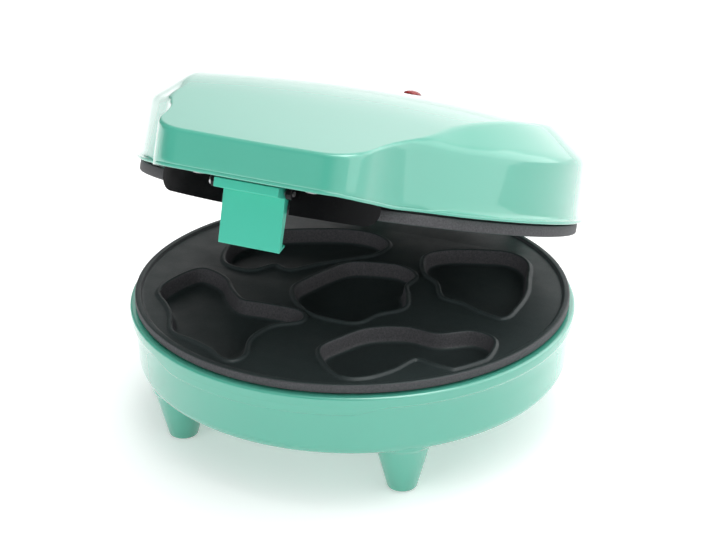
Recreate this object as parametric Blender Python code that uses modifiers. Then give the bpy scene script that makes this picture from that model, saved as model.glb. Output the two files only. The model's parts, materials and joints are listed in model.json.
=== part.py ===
"""Round countertop cooker with a hinged lid and two moulded baking plates.

Every length is in metres, +Z is up, and the feet stand on z = 0.
The model is laid out with the lid closed around the plates' common axis, and the lid then turns
about its hinge to the ajar position that it rests in.
"""
import math

import bmesh
import bpy
from mathutils import Matrix, Vector

# Fits shared by all pieces
SEAT_GAP = 0.0003
LOOSE_GAP = 0.0006
CUT_OVERRUN = 0.004
MERGE = 0.00001
ROUND_STEPS = 56
SMALL_STEPS = 16
LEG_STEPS = 20
HINGE_STEPS = 8
LENS_STEPS = 4
CREASE_TRIES = 24

# Base housing with its moulded legs
RIM_WIDTH = 0.0055
RIM_HEIGHT = 0.0050
RIM_ROUND = 0.0013
WALL_SETBACK = 0.0016
WALL_DRAFT = 0.0012
WALL = 0.0022
WIRING_ROOM = 0.0060
FLOOR_ROUND = 0.0058
FLOOR_ROUND_STEPS = 4
LEG_HEIGHT = 0.0231
LEG_INSET = 0.0142
LEG_ANGLE = 40.0
LEG_FOOT_RADIUS = 0.0068
LEG_TOP_RADIUS = 0.0122
LEG_ROUND = 0.0022
PAD_RADIUS = 0.0044
PAD_HEIGHT = 0.0024
PAD_STAND = 0.0007
VENT_LENGTH = 0.016
VENT_WIDTH = 0.0026
VENT_PITCH = 0.0062
VENT_COUNT = 5
CATCH_SETBACK = 0.0001
CATCH_THICK = 0.0034
CATCH_TOP = 0.0040
CATCH_DROP = 0.0084
CATCH_LIFT = 0.0040
CATCH_START = 24.0
CATCH_END = 36.0
CATCH_STEPS = 16

# Baking plates, one in the base and one in the lid
PLATE_RADIUS = 0.0970
PLATE_EDGE = 0.0038
UPPER_EDGE = 0.0047
SHADOW_GAP = 0.0010
RING_WIDTH = 0.0024
RING_SLOPE = 0.0011
DECK_DROP = 0.0014
EDGE_ROUND = 0.0006
PLATE_OVERHANG = 0.0036
SKIRT_WALL = 0.0020
SKIRT_DEPTH = 0.0086
PLATES_APART = 0.0009

# Moulds sunk in each plate
MOULD_MARGIN = 0.0007
MOULD_DEPTH = 0.0074
MOULD_WALL = 0.0022
MOULD_DRAFT = 0.0014
MOULD_LIP_ROUND = 0.0007
LIP_SETBACK = 0.0002
LIP_SLOPE = 0.0009

# Mould outlines as shares of their reach, and the reach and the places as shares of the field they lie in
MOULD_REACH_SHARE = 0.3867
BEAR_SPOT_SHARES = (-0.4475, -0.5580)
SNAIL_SPOT_SHARES = (0.5282, -0.5569)
CHICK_SPOT_SHARES = (0.0409, -0.0398)
HEDGEHOG_SPOT_SHARES = (0.5182, 0.3293)
ELEPHANT_SPOT_SHARES = (-0.4066, 0.2840)
BEAR_SHARES = [
    (-0.97, 0.23), (-0.70, -0.04), (-0.50, -0.28), (-0.26, -0.66), (0.10, -0.77), (0.40, -0.89),
    (0.69, -1.05), (0.80, -0.88), (0.66, -0.45), (0.74, -0.02), (1.00, 0.23), (0.88, 0.46),
    (0.40, 0.46), (0.08, 0.44), (-0.20, 0.66), (-0.46, 0.94), (-0.84, 1.04), (-1.00, 0.60)]
SNAIL_SHARES = [
    (-0.94, -0.34), (-0.71, -0.66), (-0.42, -0.86), (-0.16, -0.76), (0.04, -0.46), (0.18, -0.08),
    (0.50, -0.12), (0.80, -0.08), (0.93, 0.28), (0.84, 0.74), (0.54, 0.84), (0.18, 0.60),
    (-0.24, 0.60), (-0.64, 0.38), (-0.84, 0.02)]
CHICK_SHARES = [
    (-0.74, -0.26), (-0.56, -0.57), (-0.26, -0.82), (0.11, -0.88), (0.40, -0.82), (0.52, -0.52),
    (0.74, -0.22), (0.62, 0.14), (0.50, 0.38), (0.50, 0.70), (0.22, 0.88), (-0.16, 0.82),
    (-0.44, 0.68), (-0.60, 0.34), (-0.70, 0.02)]
HEDGEHOG_SHARES = [
    (-0.83, 0.37), (-0.64, -0.08), (-0.36, -0.32), (-0.14, -0.66), (0.16, -0.72), (0.42, -0.84),
    (0.74, -0.90), (0.78, -0.58), (0.74, -0.14), (0.62, 0.24), (0.44, 0.72), (0.14, 0.92),
    (-0.24, 0.84), (-0.66, 0.64)]
ELEPHANT_SHARES = [
    (-0.89, -0.54), (-0.70, -0.82), (-0.36, -0.84), (-0.15, -0.56), (0.10, -0.62), (0.32, -0.34),
    (0.64, 0.00), (0.90, 0.30), (0.92, 0.64), (0.62, 0.84), (0.24, 0.82), (-0.14, 0.66),
    (-0.50, 0.46), (-0.80, 0.22), (-0.95, -0.12)]
MOULDS = [
    ("bear", BEAR_SHARES, BEAR_SPOT_SHARES), ("snail", SNAIL_SHARES, SNAIL_SPOT_SHARES),
    ("chick", CHICK_SHARES, CHICK_SPOT_SHARES), ("hedgehog", HEDGEHOG_SHARES, HEDGEHOG_SPOT_SHARES),
    ("elephant", ELEPHANT_SHARES, ELEPHANT_SPOT_SHARES)]

# Heating parts behind each plate
TUBE_RADIUS = 0.0032
ELEMENT_INSET = 0.0335
ELEMENT_TAIL_X = 0.0125
ELEMENT_TAIL_INSET = 0.0085
ELEMENT_BEND = 0.009
ELEMENT_STEPS = 26
REFLECTOR_CLEARANCE = 0.0029
REFLECTOR_SHEET = 0.0008
REFLECTOR_LIP = 0.0060
SCREW_INSET = 0.0085
BOSS_RADIUS = 0.0042
HOUSING_POST_RADIUS = 0.0053
SCREW_RADIUS = 0.0015
SCREW_HEAD_RADIUS = 0.0030
SCREW_HEAD_HEIGHT = 0.0018
SCREW_SLOT_WIDTH = 0.0008
SCREW_SLOT_DEPTH = 0.0007
SCREW_ENGAGE = 0.006
LEAD_RADIUS = 0.0011
LEAD_SLOT = 0.0074
LEAD_STEPS = 2
TERMINAL_LENGTH = 0.030
TERMINAL_WIDTH = 0.011
TERMINAL_HEIGHT = 0.0085
TERMINAL_INSET = 0.0140
TERMINAL_WELL = 0.0021
TERMINAL_WELL_X = 0.0100

# Cord inlet in the rear wall, with no cord in it
INLET_RISE = 0.0125
INLET_RADIUS = 0.0050
INLET_BORE = 0.0034
INLET_FLANGE_RADIUS = 0.0068
INLET_FLANGE = 0.0024
INLET_SPIGOT = 0.0040

# Lid shell
LID_SETBACK = 0.0001
LID_DRAFT = 0.0010
LID_FLANGE = 0.0023
LID_FLANGE_HEIGHT = 0.0014
LID_FLANGE_SHOULDER = 0.0020
LID_SKIRT_TOP = 0.0327
LID_BOTTOM = 0.0066
LID_EDGE_ROUND = 0.0004
HANDLE_BOTTOM = 0.0098
HANDLE_DEPTH = 0.0181
HANDLE_HALF_WIDTH = 0.0463
HANDLE_CORNER = 0.016
HANDLE_BLEND = 0.030
HANDLE_RISE = 0.0050
RAMP_TOP = 0.0265
RAMP_SETBACK = 0.0032
RAMP_SLOPE = 0.28
CROWN_TOP = 0.0502
CROWN_DROP = 0.0038
CROWN_INSET = 0.0181
CROWN_BLEND = 0.006
FACET_SLOPE = 0.80
FACET_BLEND = 0.0016
CREASE_WIDTH = 0.0030
SHELL_ROUND = 0.0014
ROOF_DROP = 0.0028
HANDLE_SECTOR = 45.0
HANDLE_STEPS = 38
REAR_STEPS = 44
RISE_START = 34.0
RISE_END = 52.0
FLARE_START = 37.0
FLARE_END = 50.0
DOME_SHARES = (0.80, 0.56, 0.30)

# Black liner: a collar that carries the upper plate, a floor under the handle and an apron
LINER_GAP = 0.0009
LINER_WALL = 0.0034
LINER_FLOOR = 0.0022
LINER_RECESS = 0.0011
LINER_SECTOR = 41.0
LINER_STEPS = 24
LINER_LUG = 0.0028
LINER_LUG_HALF_WIDTH = 0.0046
APRON_STANDOFF = 0.0035
APRON_WALL = 0.0040
APRON_MARGIN = 0.0027
APRON_DROP = 0.0015
APRON_CORNER = 0.006
APRON_STEPS = 20
LINER_SCREW_X = 0.025
LINER_SCREW_INSET = 0.0102
LINER_POST_RADIUS = 0.0036

# Latch under the handle, with a hook that catches below the front of the rim
LATCH_HALF_WIDTH = 0.0137
LATCH_LEDGE_MARGIN = 0.0007
LATCH_LEDGE_REACH = 0.0068
LATCH_LEDGE_TOP = 0.0092
LATCH_LEDGE_FOOT = 0.0053
LATCH_THICK = 0.0040
LATCH_FOOT_THICK = 0.0020
LATCH_GAP = 0.0011
LATCH_FOOT_DEPTH = 0.0022
LATCH_BITE = 0.0012
LATCH_HOOK_CLEARANCE = 0.0006
LATCH_HOOK_THICK = 0.0011
LATCH_HOOK_SLOPE = 0.0014
LATCH_TOP = 0.0080
LATCH_SWING_GAP = 0.0012
LATCH_EYE_RADIUS = 0.0026
LATCH_PIVOT_SETBACK = 0.0050
LATCH_PIVOT_Z = 0.0072
LATCH_PIN_RADIUS = 0.0011
LATCH_PIN_HEAD_RADIUS = 0.0018
LATCH_PIN_HEAD = 0.0008
LATCH_EAR = 0.0026
LATCH_EAR_RADIUS = 0.0027
LATCH_ROUND = 0.0004

# Hinge at the rear
HINGE_SETBACK = 0.0105
HINGE_RISE = 0.003
HINGE_X = 0.033
HINGE_KNUCKLE_RADIUS = 0.0066
HINGE_LUG_WIDTH = 0.0070
HINGE_PIN_RADIUS = 0.0020
HINGE_PIN_HEAD_RADIUS = 0.0036
HINGE_PIN_HEAD = 0.0014
HINGE_LUG_DROP = 0.0260
HINGE_SHOULDER_INSET = 0.0005
HINGE_LUG_SHOULDER_DROP = 0.0060
HINGE_ARM_FOOT = 0.0082
HINGE_ARM_TOP = 0.0250
HINGE_ROOT_DEPTH = 0.0006

# Lamp, thermostat and fuse under the lid
LAMP_Y = 0.045
LENS_RADIUS = 0.0042
LENS_DOME = 0.0017
LENS_SEAT = 0.0005
LENS_NECK_RADIUS = 0.0030
LENS_NECK = 0.0048
LAMP_HOLDER_RADIUS = 0.0052
LAMP_HOLDER_HEIGHT = 0.0125
LAMP_HOLDER_WALL = 0.0016
BULB_RADIUS = 0.0021
THERMOSTAT_RADIUS = 0.0078
THERMOSTAT_HEIGHT = 0.0062
THERMOSTAT_X = 0.022
THERMOSTAT_Y = 0.004
THERMOSTAT_TAB = 0.0150
THERMOSTAT_TAB_WIDTH = 0.0032
THERMOSTAT_TAB_SHEET = 0.0010
FUSE_X = 0.026
FUSE_RADIUS = 0.0022
FUSE_HALF_LENGTH = 0.0065
FUSE_WIRE_RADIUS = 0.0005
FUSE_WIRE = 0.005

# Leads, as stations beside the pieces that they join
LEAD_TURN = 0.0026
LEAD_OUT = 0.0042
LEAD_RUN = 0.0040

# Angle that the lid stands open at
LID_OPEN = 20.0
RIGHT_ANGLE = 90.0
FULL_TURN = 4 * RIGHT_ANGLE

# Radii and places that follow from the plates outwards
SKIRT_RADIUS = PLATE_RADIUS - PLATE_OVERHANG
MOULD_LIMIT = SKIRT_RADIUS - MOULD_WALL - MOULD_MARGIN
RIM_RADIUS = SKIRT_RADIUS + LOOSE_GAP + RIM_WIDTH
WALL_TOP_RADIUS = RIM_RADIUS - WALL_SETBACK
WALL_FOOT_RADIUS = WALL_TOP_RADIUS - WALL_DRAFT
CATCH_RADIUS = RIM_RADIUS - CATCH_SETBACK
CATCH_INNER_RADIUS = CATCH_RADIUS - CATCH_THICK
LEG_CIRCLE = WALL_FOOT_RADIUS - LEG_INSET
REFLECTOR_RADIUS = SKIRT_RADIUS - SKIRT_WALL - REFLECTOR_CLEARANCE
SCREW_CIRCLE = REFLECTOR_RADIUS - SCREW_INSET
ELEMENT_CIRCLE = REFLECTOR_RADIUS - ELEMENT_INSET
ELEMENT_TAIL_END = REFLECTOR_RADIUS - ELEMENT_TAIL_INSET
LEAD_TURN_Y = ELEMENT_TAIL_END + LEAD_TURN
LEAD_OUT_Y = ELEMENT_TAIL_END + LEAD_OUT
TERMINAL_Y = ELEMENT_TAIL_END - TERMINAL_INSET
LID_RADIUS = RIM_RADIUS - LID_FLANGE - LID_SETBACK
CROWN_RADIUS = LID_RADIUS - CROWN_INSET
HANDLE_REACH = LID_RADIUS + HANDLE_DEPTH
RAMP_FOOT = HANDLE_REACH - RAMP_SETBACK
LINER_RADIUS = LID_RADIUS - WALL - LINER_GAP
LINER_SCREW_Y = HANDLE_REACH - LINER_SCREW_INSET
LINER_FLOOR_STAND = HANDLE_BOTTOM + LINER_RECESS
APRON_RADIUS = RIM_RADIUS + APRON_STANDOFF
APRON_HALF_WIDTH = HANDLE_HALF_WIDTH + APRON_MARGIN
HINGE_Y = RIM_RADIUS + HINGE_SETBACK
HINGE_LUG_SHOULDER_Y = RIM_RADIUS - HINGE_SHOULDER_INSET
HINGE_ROOT_RADIUS = WALL_FOOT_RADIUS - HINGE_ROOT_DEPTH
LATCH_BACK_Y = RIM_RADIUS + LATCH_GAP
LATCH_FACE_Y = LATCH_BACK_Y + LATCH_THICK
LATCH_FACE_FOOT_Y = LATCH_BACK_Y + LATCH_FOOT_THICK
LATCH_PIVOT_Y = LATCH_BACK_Y + LATCH_PIVOT_SETBACK
LATCH_LEDGE_Y = LATCH_PIVOT_Y + LATCH_LEDGE_REACH
LATCH_LEDGE_HALF_WIDTH = LATCH_HALF_WIDTH + LATCH_LEDGE_MARGIN
LATCH_HOOK_Y = RIM_RADIUS - LATCH_BITE
LATCH_HOOK_TIP = SHADOW_GAP + PLATE_EDGE + CATCH_DROP + LATCH_HOOK_CLEARANCE
LATCH_HOOK_ROOT = LATCH_HOOK_TIP + LATCH_HOOK_SLOPE
LATCH_FOOT = LATCH_HOOK_ROOT + LATCH_FOOT_DEPTH

# Heights and depths that follow
CUP_DEPTH = MOULD_DEPTH + MOULD_WALL
ELEMENT_DEPTH = CUP_DEPTH + SEAT_GAP + TUBE_RADIUS
REFLECTOR_DEPTH = ELEMENT_DEPTH + TUBE_RADIUS + SEAT_GAP
BOSS_DEPTH = REFLECTOR_DEPTH - SEAT_GAP
LOWER_STACK = REFLECTOR_DEPTH + REFLECTOR_SHEET - PLATE_EDGE - SHADOW_GAP
HOUSING_HEIGHT = WALL + SEAT_GAP + TERMINAL_HEIGHT + WIRING_ROOM + LOWER_STACK
FLOOR_Z = LEG_HEIGHT
RIM_Z = FLOOR_Z + HOUSING_HEIGHT
PLATE_Z = RIM_Z + SHADOW_GAP + PLATE_EDGE
UPPER_FACE = PLATES_APART
HINGE_Z = PLATE_Z + HINGE_RISE
LOWER_PAN_BACK = PLATE_Z - REFLECTOR_DEPTH - REFLECTOR_SHEET
UPPER_PAN_BACK = UPPER_FACE + REFLECTOR_DEPTH + REFLECTOR_SHEET
SCREW_SPOTS = [("front", 0, -1), ("rear", 0, 1), ("left", -1, 0), ("right", 1, 0)]
CORNER_SPOTS = [
    ("front_left", -1, -1), ("front_right", 1, -1), ("rear_left", -1, 1), ("rear_right", 1, 1)]


def clear_scene():
    for obj in list(bpy.data.objects):
        bpy.data.objects.remove(obj, do_unlink=True)
    for group in list(bpy.data.collections):
        bpy.data.collections.remove(group)


clear_scene()
PARTS = bpy.data.collections.new("mini_cookie_maker")
CUTTERS = bpy.data.collections.new("cutters")
bpy.context.scene.collection.children.link(PARTS)
bpy.context.scene.collection.children.link(CUTTERS)


# Materials

def material(name, colour, roughness, metallic=0.0):
    made = bpy.data.materials.new(name)
    made.use_nodes = True
    shader = made.node_tree.nodes["Principled BSDF"]
    shader.inputs["Base Color"].default_value = (*colour, 1.0)
    shader.inputs["Roughness"].default_value = roughness
    shader.inputs["Metallic"].default_value = metallic
    return made


# Shared modelling helpers

def link(obj, look, parent, hold=None):
    PARTS.objects.link(obj)
    obj.data.materials.append(look)
    obj.parent = parent
    if hold is not None:
        obj.location = hold
    return obj


def moved(obj, matrix):
    obj.data.transform(matrix)
    return obj


def as_cutter(obj):
    CUTTERS.objects.link(obj)
    obj.hide_render = True
    obj.display_type = 'WIRE'
    return obj


def combine(obj, other, operation):
    other.parent = obj.parent
    other.location = obj.location
    change = obj.modifiers.new(operation.title(), 'BOOLEAN')
    change.operation = operation
    change.solver = 'EXACT'
    change.object = other


def cut(obj, other):
    combine(obj, as_cutter(other), 'DIFFERENCE')


def join(obj, other):
    combine(obj, as_cutter(other), 'UNION')


def shade(mesh, angle=RIGHT_ANGLE / 3):
    mesh.shade_smooth()
    mesh.set_sharp_from_angle(angle=math.radians(angle))


def mesh_object(name, bm):
    bmesh.ops.recalc_face_normals(bm, faces=bm.faces)
    mesh = bpy.data.meshes.new(name)
    bm.to_mesh(mesh)
    bm.free()
    shade(mesh)
    return bpy.data.objects.new(name, mesh)


def loft(name, rings):
    """Closed body through rings of equally many points; a ring of one point is a pole."""
    bm = bmesh.new()
    loops = [[bm.verts.new(point) for point in ring] for ring in rings]
    for low, high in zip(loops, loops[1:]):
        count = max(len(low), len(high))
        for index in range(count):
            follow = (index + 1) % count
            corners = [low[index % len(low)], low[follow % len(low)]]
            corners += [high[follow % len(high)], high[index % len(high)]]
            bm.faces.new(list(dict.fromkeys(corners)))
    for end in (loops[0], loops[-1]):
        if len(end) > 2:
            bm.faces.new(end)
    return mesh_object(name, bm)


def turned(name, profile, steps=ROUND_STEPS):
    """Body turned about Z from a profile that runs from the axis to the axis."""
    bm = bmesh.new()
    points = [bm.verts.new((radius, 0, height)) for radius, height in profile]
    for start, end in zip(points, points[1:]):
        bm.edges.new((start, end))
    mesh = bpy.data.meshes.new(name)
    bm.to_mesh(mesh)
    bm.free()
    obj = bpy.data.objects.new(name, mesh)
    PARTS.objects.link(obj)
    turn = obj.modifiers.new("Turn", 'SCREW')
    turn.steps = steps
    turn.render_steps = steps
    turn.use_merge_vertices = True
    turn.merge_threshold = MERGE
    return settle(obj)


def settle(obj):
    """Plain mesh object from what the modifiers or the curve make, with its seams welded."""
    bpy.context.view_layer.update()
    result = obj.evaluated_get(bpy.context.evaluated_depsgraph_get())
    mesh = bpy.data.meshes.new_from_object(result)
    mesh.materials.clear()
    bm = bmesh.new()
    bm.from_mesh(mesh)
    bmesh.ops.remove_doubles(bm, verts=bm.verts, dist=MERGE)
    bmesh.ops.recalc_face_normals(bm, faces=bm.faces)
    bm.to_mesh(mesh)
    bm.free()
    name = obj.name
    bpy.data.objects.remove(obj, do_unlink=True)
    shade(mesh)
    mesh.name = name
    return bpy.data.objects.new(name, mesh)


def cylinder(name, radius, low, high, x=0, y=0, top_radius=None, steps=SMALL_STEPS):
    bm = bmesh.new()
    upper = radius if top_radius is None else top_radius
    bmesh.ops.create_cone(
        bm, cap_ends=True, segments=steps, radius1=radius, radius2=upper, depth=high - low,
        matrix=Matrix.Translation((x, y, (low + high) / 2)))
    return mesh_object(name, bm)


def box(name, low, high):
    size = [b - a for a, b in zip(low, high)]
    middle = [(a + b) / 2 for a, b in zip(low, high)]
    bm = bmesh.new()
    bmesh.ops.create_cube(bm, size=1, matrix=Matrix.Translation(middle) @ Matrix.Diagonal((*size, 1)))
    return mesh_object(name, bm)


def flat_piece(name, outline, low, high, plane="XY"):
    """Flat outline extruded from low to high across its plane, along Z for XY and along X for YZ."""
    curve = bpy.data.curves.new(name, 'CURVE')
    curve.dimensions = '2D'
    curve.fill_mode = 'BOTH'
    curve.extrude = (high - low) / 2
    line = curve.splines.new('POLY')
    line.points.add(len(outline) - 1)
    for point, (across, along) in zip(line.points, outline):
        point.co = (across, along, 0, 1)
    line.use_cyclic_u = True
    obj = bpy.data.objects.new(name, curve)
    PARTS.objects.link(obj)
    obj = settle(obj)
    middle = (low + high) / 2
    turn = {
        "XY": Matrix.Translation((0, 0, middle)),
        "YZ": Matrix.Translation((middle, 0, 0)) @ Matrix((
            (0, 0, 1, 0), (1, 0, 0, 0), (0, 1, 0, 0), (0, 0, 0, 1)))}
    obj.data.transform(turn[plane])
    return obj


def tube(name, points, radius, look, parent, hold=None):
    curve = bpy.data.curves.new(name, 'CURVE')
    curve.dimensions = '3D'
    curve.bevel_depth = radius
    curve.bevel_resolution = 2
    curve.use_fill_caps = True
    line = curve.splines.new('POLY')
    line.points.add(len(points) - 1)
    for point, place in zip(line.points, points):
        point.co = (*place, 1)
    obj = bpy.data.objects.new(name, curve)
    PARTS.objects.link(obj)
    obj = settle(obj)
    return link(obj, look, parent, hold)


def arc(centre, radius, start, end, steps):
    """Points on a circle from the start angle to the end angle, in degrees."""
    result = []
    for index in range(steps + 1):
        angle = math.radians(start + (end - start) * index / steps)
        result.append((centre[0] + radius * math.cos(angle), centre[1] + radius * math.sin(angle)))
    return result


def smooth_loop(points, steps=2):
    """Closed curve through the points, with steps samples on each stretch."""
    count = len(points)
    result = []
    for index in range(count):
        knots = [Vector(points[(index + shift) % count]) for shift in (-1, 0, 1, 2)]
        for step in range(steps):
            result.append(spline_point(knots, step / steps))
    return result


def smooth_path(points, steps=4):
    """Open curve through the points, with steps samples on each stretch."""
    padded = [points[0], *points, points[-1]]
    result = []
    for index in range(len(points) - 1):
        knots = [Vector(place) for place in padded[index:index + 4]]
        for step in range(steps):
            result.append(spline_point(knots, step / steps))
    return result + [Vector(points[-1])]


def spline_point(knots, t):
    before, start, end, after = knots
    bend = 2 * before - 5 * start + 4 * end - after
    twist = 3 * start - before - 3 * end + after
    return start + ((end - before) * t + bend * t ** 2 + twist * t ** 3) / 2


def grown(outline, distance):
    """Counter-clockwise outline moved outwards by a distance."""
    result = []
    for index, point in enumerate(outline):
        tangent = outline[(index + 1) % len(outline)] - outline[index - 1]
        normal = Vector((tangent.y, -tangent.x)).normalized()
        result.append(point + normal * distance)
    return result


def at_height(outline, height):
    return [(point[0], point[1], height) for point in outline]


def smooth_min(first, second, blend):
    share = max(blend - abs(first - second), 0) / blend
    return min(first, second) - share ** 2 * blend / 4


def smooth_max(first, second, blend):
    return -smooth_min(-first, -second, blend)


def ease(value, start, end):
    share = min(max((value - start) / (end - start), 0), 1)
    return share ** 2 * (3 - 2 * share)


def along_x(y, z):
    """Turns a body built along Z so that it lies along X through the given point."""
    return Matrix.Translation((0, y, z)) @ Matrix.Rotation(math.radians(RIGHT_ANGLE), 4, 'Y')


def along_y(x, z):
    """Turns a body built along Z so that it lies along Y through the given point."""
    return Matrix.Translation((x, 0, z)) @ Matrix.Rotation(math.radians(-RIGHT_ANGLE), 4, 'X')


# Frames that the pieces hang from

frame = bpy.data.objects.new("cooker_frame", None)
lid_pivot = bpy.data.objects.new("lid_pivot", None)
latch_pivot = bpy.data.objects.new("latch_pivot", None)
for empty in (frame, lid_pivot, latch_pivot):
    PARTS.objects.link(empty)
frame.location = (0, (RIM_RADIUS - HINGE_Y - HINGE_KNUCKLE_RADIUS) / 2, 0)
lid_pivot.parent = frame
lid_pivot.location = (0, HINGE_Y, HINGE_Z)
lid_pivot.rotation_euler = (math.radians(-LID_OPEN), 0, 0)
LID_HOLD = Vector((0, -HINGE_Y, -HINGE_RISE))
latch_pivot.parent = lid_pivot
latch_pivot.location = LID_HOLD + Vector((0, -LATCH_PIVOT_Y, LATCH_PIVOT_Z))
LATCH_HOLD = Vector((0, LATCH_PIVOT_Y, -LATCH_PIVOT_Z))
BASE_HOLD = Vector((0, 0, 0))
PLATE_HOLD = Vector((0, 0, PLATE_Z))

MINT_LOOK = material("mint_enamel", (0.33, 0.72, 0.58), 0.22)
LATCH_LOOK = material("mint_latch", (0.12, 0.56, 0.41), 0.30)
LINER_LOOK = material("black_moulding", (0.018, 0.018, 0.02), 0.24)
COATING_LOOK = material("non_stick_coating", (0.032, 0.040, 0.043), 0.42)
STEEL_LOOK = material("zinc_plated_steel", (0.62, 0.62, 0.63), 0.35, 1.0)
TUBE_LOOK = material("heater_tube_steel", (0.34, 0.33, 0.31), 0.45, 1.0)
PAN_LOOK = material("aluminised_sheet", (0.75, 0.75, 0.76), 0.32, 1.0)
CERAMIC_LOOK = material("ceramic", (0.86, 0.84, 0.78), 0.6)
LENS_LOOK = material("red_lens", (0.65, 0.02, 0.02), 0.12)
BULB_LOOK = material("lamp_glass", (0.90, 0.70, 0.50), 0.10)
PAD_LOOK = material("foot_rubber", (0.05, 0.05, 0.05), 0.85)
SLEEVE_LOOK = material("glass_fibre_sleeve", (0.84, 0.83, 0.78), 0.8)


# Plates with their moulds. Depths run away from the plate's face.

def mould_outline(shares, spot):
    """Smooth outline of a mould, kept inside the plate's skirt."""
    reach = MOULD_LIMIT * MOULD_REACH_SHARE
    x, y = MOULD_LIMIT * spot[0], MOULD_LIMIT * spot[1]
    loop = smooth_loop([(x + across * reach, y + along * reach) for across, along in shares])
    return [point * min(1, MOULD_LIMIT / point.length) for point in loop]


def mould_cup(name, outline, at):
    wall = grown(outline, MOULD_WALL)
    lip = grown(outline, MOULD_WALL - LIP_SLOPE)
    return loft(name, [
        at_height(wall, at(CUP_DEPTH)), at_height(wall, at(DECK_DROP)), at_height(lip, at(LIP_SETBACK))])


def mould_hollow(name, outline, at):
    mouth = grown(outline, MOULD_LIP_ROUND)
    base = grown(outline, -MOULD_DRAFT)
    return loft(name, [
        at_height(mouth, at(-CUT_OVERRUN)), at_height(mouth, at(LIP_SETBACK)),
        at_height(outline, at(LIP_SETBACK + MOULD_LIP_ROUND)), at_height(base, at(MOULD_DEPTH))])


def post(name, radius, start, end, x, y):
    """Upright cylinder between two heights given in either order."""
    low, high = sorted((start, end))
    return cylinder(name, radius, low, high, x, y)


def make_plate(name, parent, hold, face, away, edge):
    def at(depth):
        return face + away * depth

    deck = PLATE_RADIUS - RING_WIDTH - RING_SLOPE
    plate = link(turned(name, [
        (0, at(DECK_DROP)), (deck, at(DECK_DROP)), (deck + RING_SLOPE, at(0)),
        (PLATE_RADIUS - EDGE_ROUND, at(0)), (PLATE_RADIUS, at(EDGE_ROUND)), (PLATE_RADIUS, at(edge)),
        (SKIRT_RADIUS, at(edge)), (SKIRT_RADIUS, at(SKIRT_DEPTH)),
        (SKIRT_RADIUS - SKIRT_WALL, at(SKIRT_DEPTH)), (SKIRT_RADIUS - SKIRT_WALL, at(edge)),
        (0, at(edge))]), COATING_LOOK, parent, hold)
    for side, x, y in SCREW_SPOTS:
        spot = (x * SCREW_CIRCLE, y * SCREW_CIRCLE)
        ends = at(edge - EDGE_ROUND), at(BOSS_DEPTH)
        join(plate, post(name + "_boss_" + side, BOSS_RADIUS, *ends, *spot))
    outlines = [(kind, mould_outline(shares, spot)) for kind, shares, spot in MOULDS]
    for kind, outline in outlines:
        join(plate, mould_cup(name + "_cup_" + kind, outline, at))
    for kind, outline in outlines:
        cut(plate, mould_hollow(name + "_hollow_" + kind, outline, at))
    for side, x, y in SCREW_SPOTS:
        spot = (x * SCREW_CIRCLE, y * SCREW_CIRCLE)
        deep, shallow = at(BOSS_DEPTH + CUT_OVERRUN), at(BOSS_DEPTH - SCREW_ENGAGE - SEAT_GAP)
        cut(plate, post(name + "_bore_" + side, SCREW_RADIUS + SEAT_GAP, deep, shallow, *spot))


def make_element(name, parent, hold, height):
    """Open heater ring whose two ends turn outwards side by side at the rear."""
    half = ELEMENT_TAIL_X + ELEMENT_BEND
    rear = math.sqrt(ELEMENT_CIRCLE ** 2 - half ** 2)
    start = math.degrees(math.atan2(rear, half))
    ring = arc((0, 0), ELEMENT_CIRCLE, start, -FULL_TURN / 2 - start, ELEMENT_STEPS)
    right = [
        (ELEMENT_TAIL_X, ELEMENT_TAIL_END), (ELEMENT_TAIL_X, rear + ELEMENT_BEND * 1.5),
        (ELEMENT_TAIL_X + ELEMENT_BEND / 4, rear + ELEMENT_BEND * 0.6)]
    left = [(-x, y) for x, y in reversed(right)]
    tube(name, [(x, y, height) for x, y in right + ring + left], TUBE_RADIUS, TUBE_LOOK, parent, hold)


def make_reflector(name, parent, hold, face, away):
    """Shallow sheet pan behind the element, with screw holes and slots for the element's leads."""
    def at(depth):
        return face + away * depth

    back = REFLECTOR_DEPTH + REFLECTOR_SHEET
    brim = REFLECTOR_RADIUS - REFLECTOR_LIP / 4
    pan = link(turned(name, [
        (0, at(REFLECTOR_DEPTH)), (brim - REFLECTOR_SHEET, at(REFLECTOR_DEPTH)),
        (REFLECTOR_RADIUS - REFLECTOR_SHEET, at(REFLECTOR_DEPTH - REFLECTOR_LIP)),
        (REFLECTOR_RADIUS, at(REFLECTOR_DEPTH - REFLECTOR_LIP)), (brim, at(back)), (0, at(back))]),
        PAN_LOOK, parent, hold)
    for side, x, y in SCREW_SPOTS:
        spot = (x * SCREW_CIRCLE, y * SCREW_CIRCLE)
        ends = at(back + CUT_OVERRUN), at(REFLECTOR_DEPTH - CUT_OVERRUN)
        cut(pan, post(name + "_hole_" + side, SCREW_RADIUS + SEAT_GAP, *ends, *spot))
    low, high = sorted((at(back + CUT_OVERRUN), at(REFLECTOR_DEPTH - REFLECTOR_LIP - CUT_OVERRUN)))
    near, far = ELEMENT_TAIL_X - LEAD_SLOT / 2, ELEMENT_TAIL_X + LEAD_SLOT / 2
    for side, left, right in (("left", -far, -near), ("right", near, far)):
        cut(pan, box(
            name + "_slot_" + side, (left, ELEMENT_TAIL_END - TUBE_RADIUS, low),
            (right, REFLECTOR_RADIUS + CUT_OVERRUN, high)))


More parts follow.
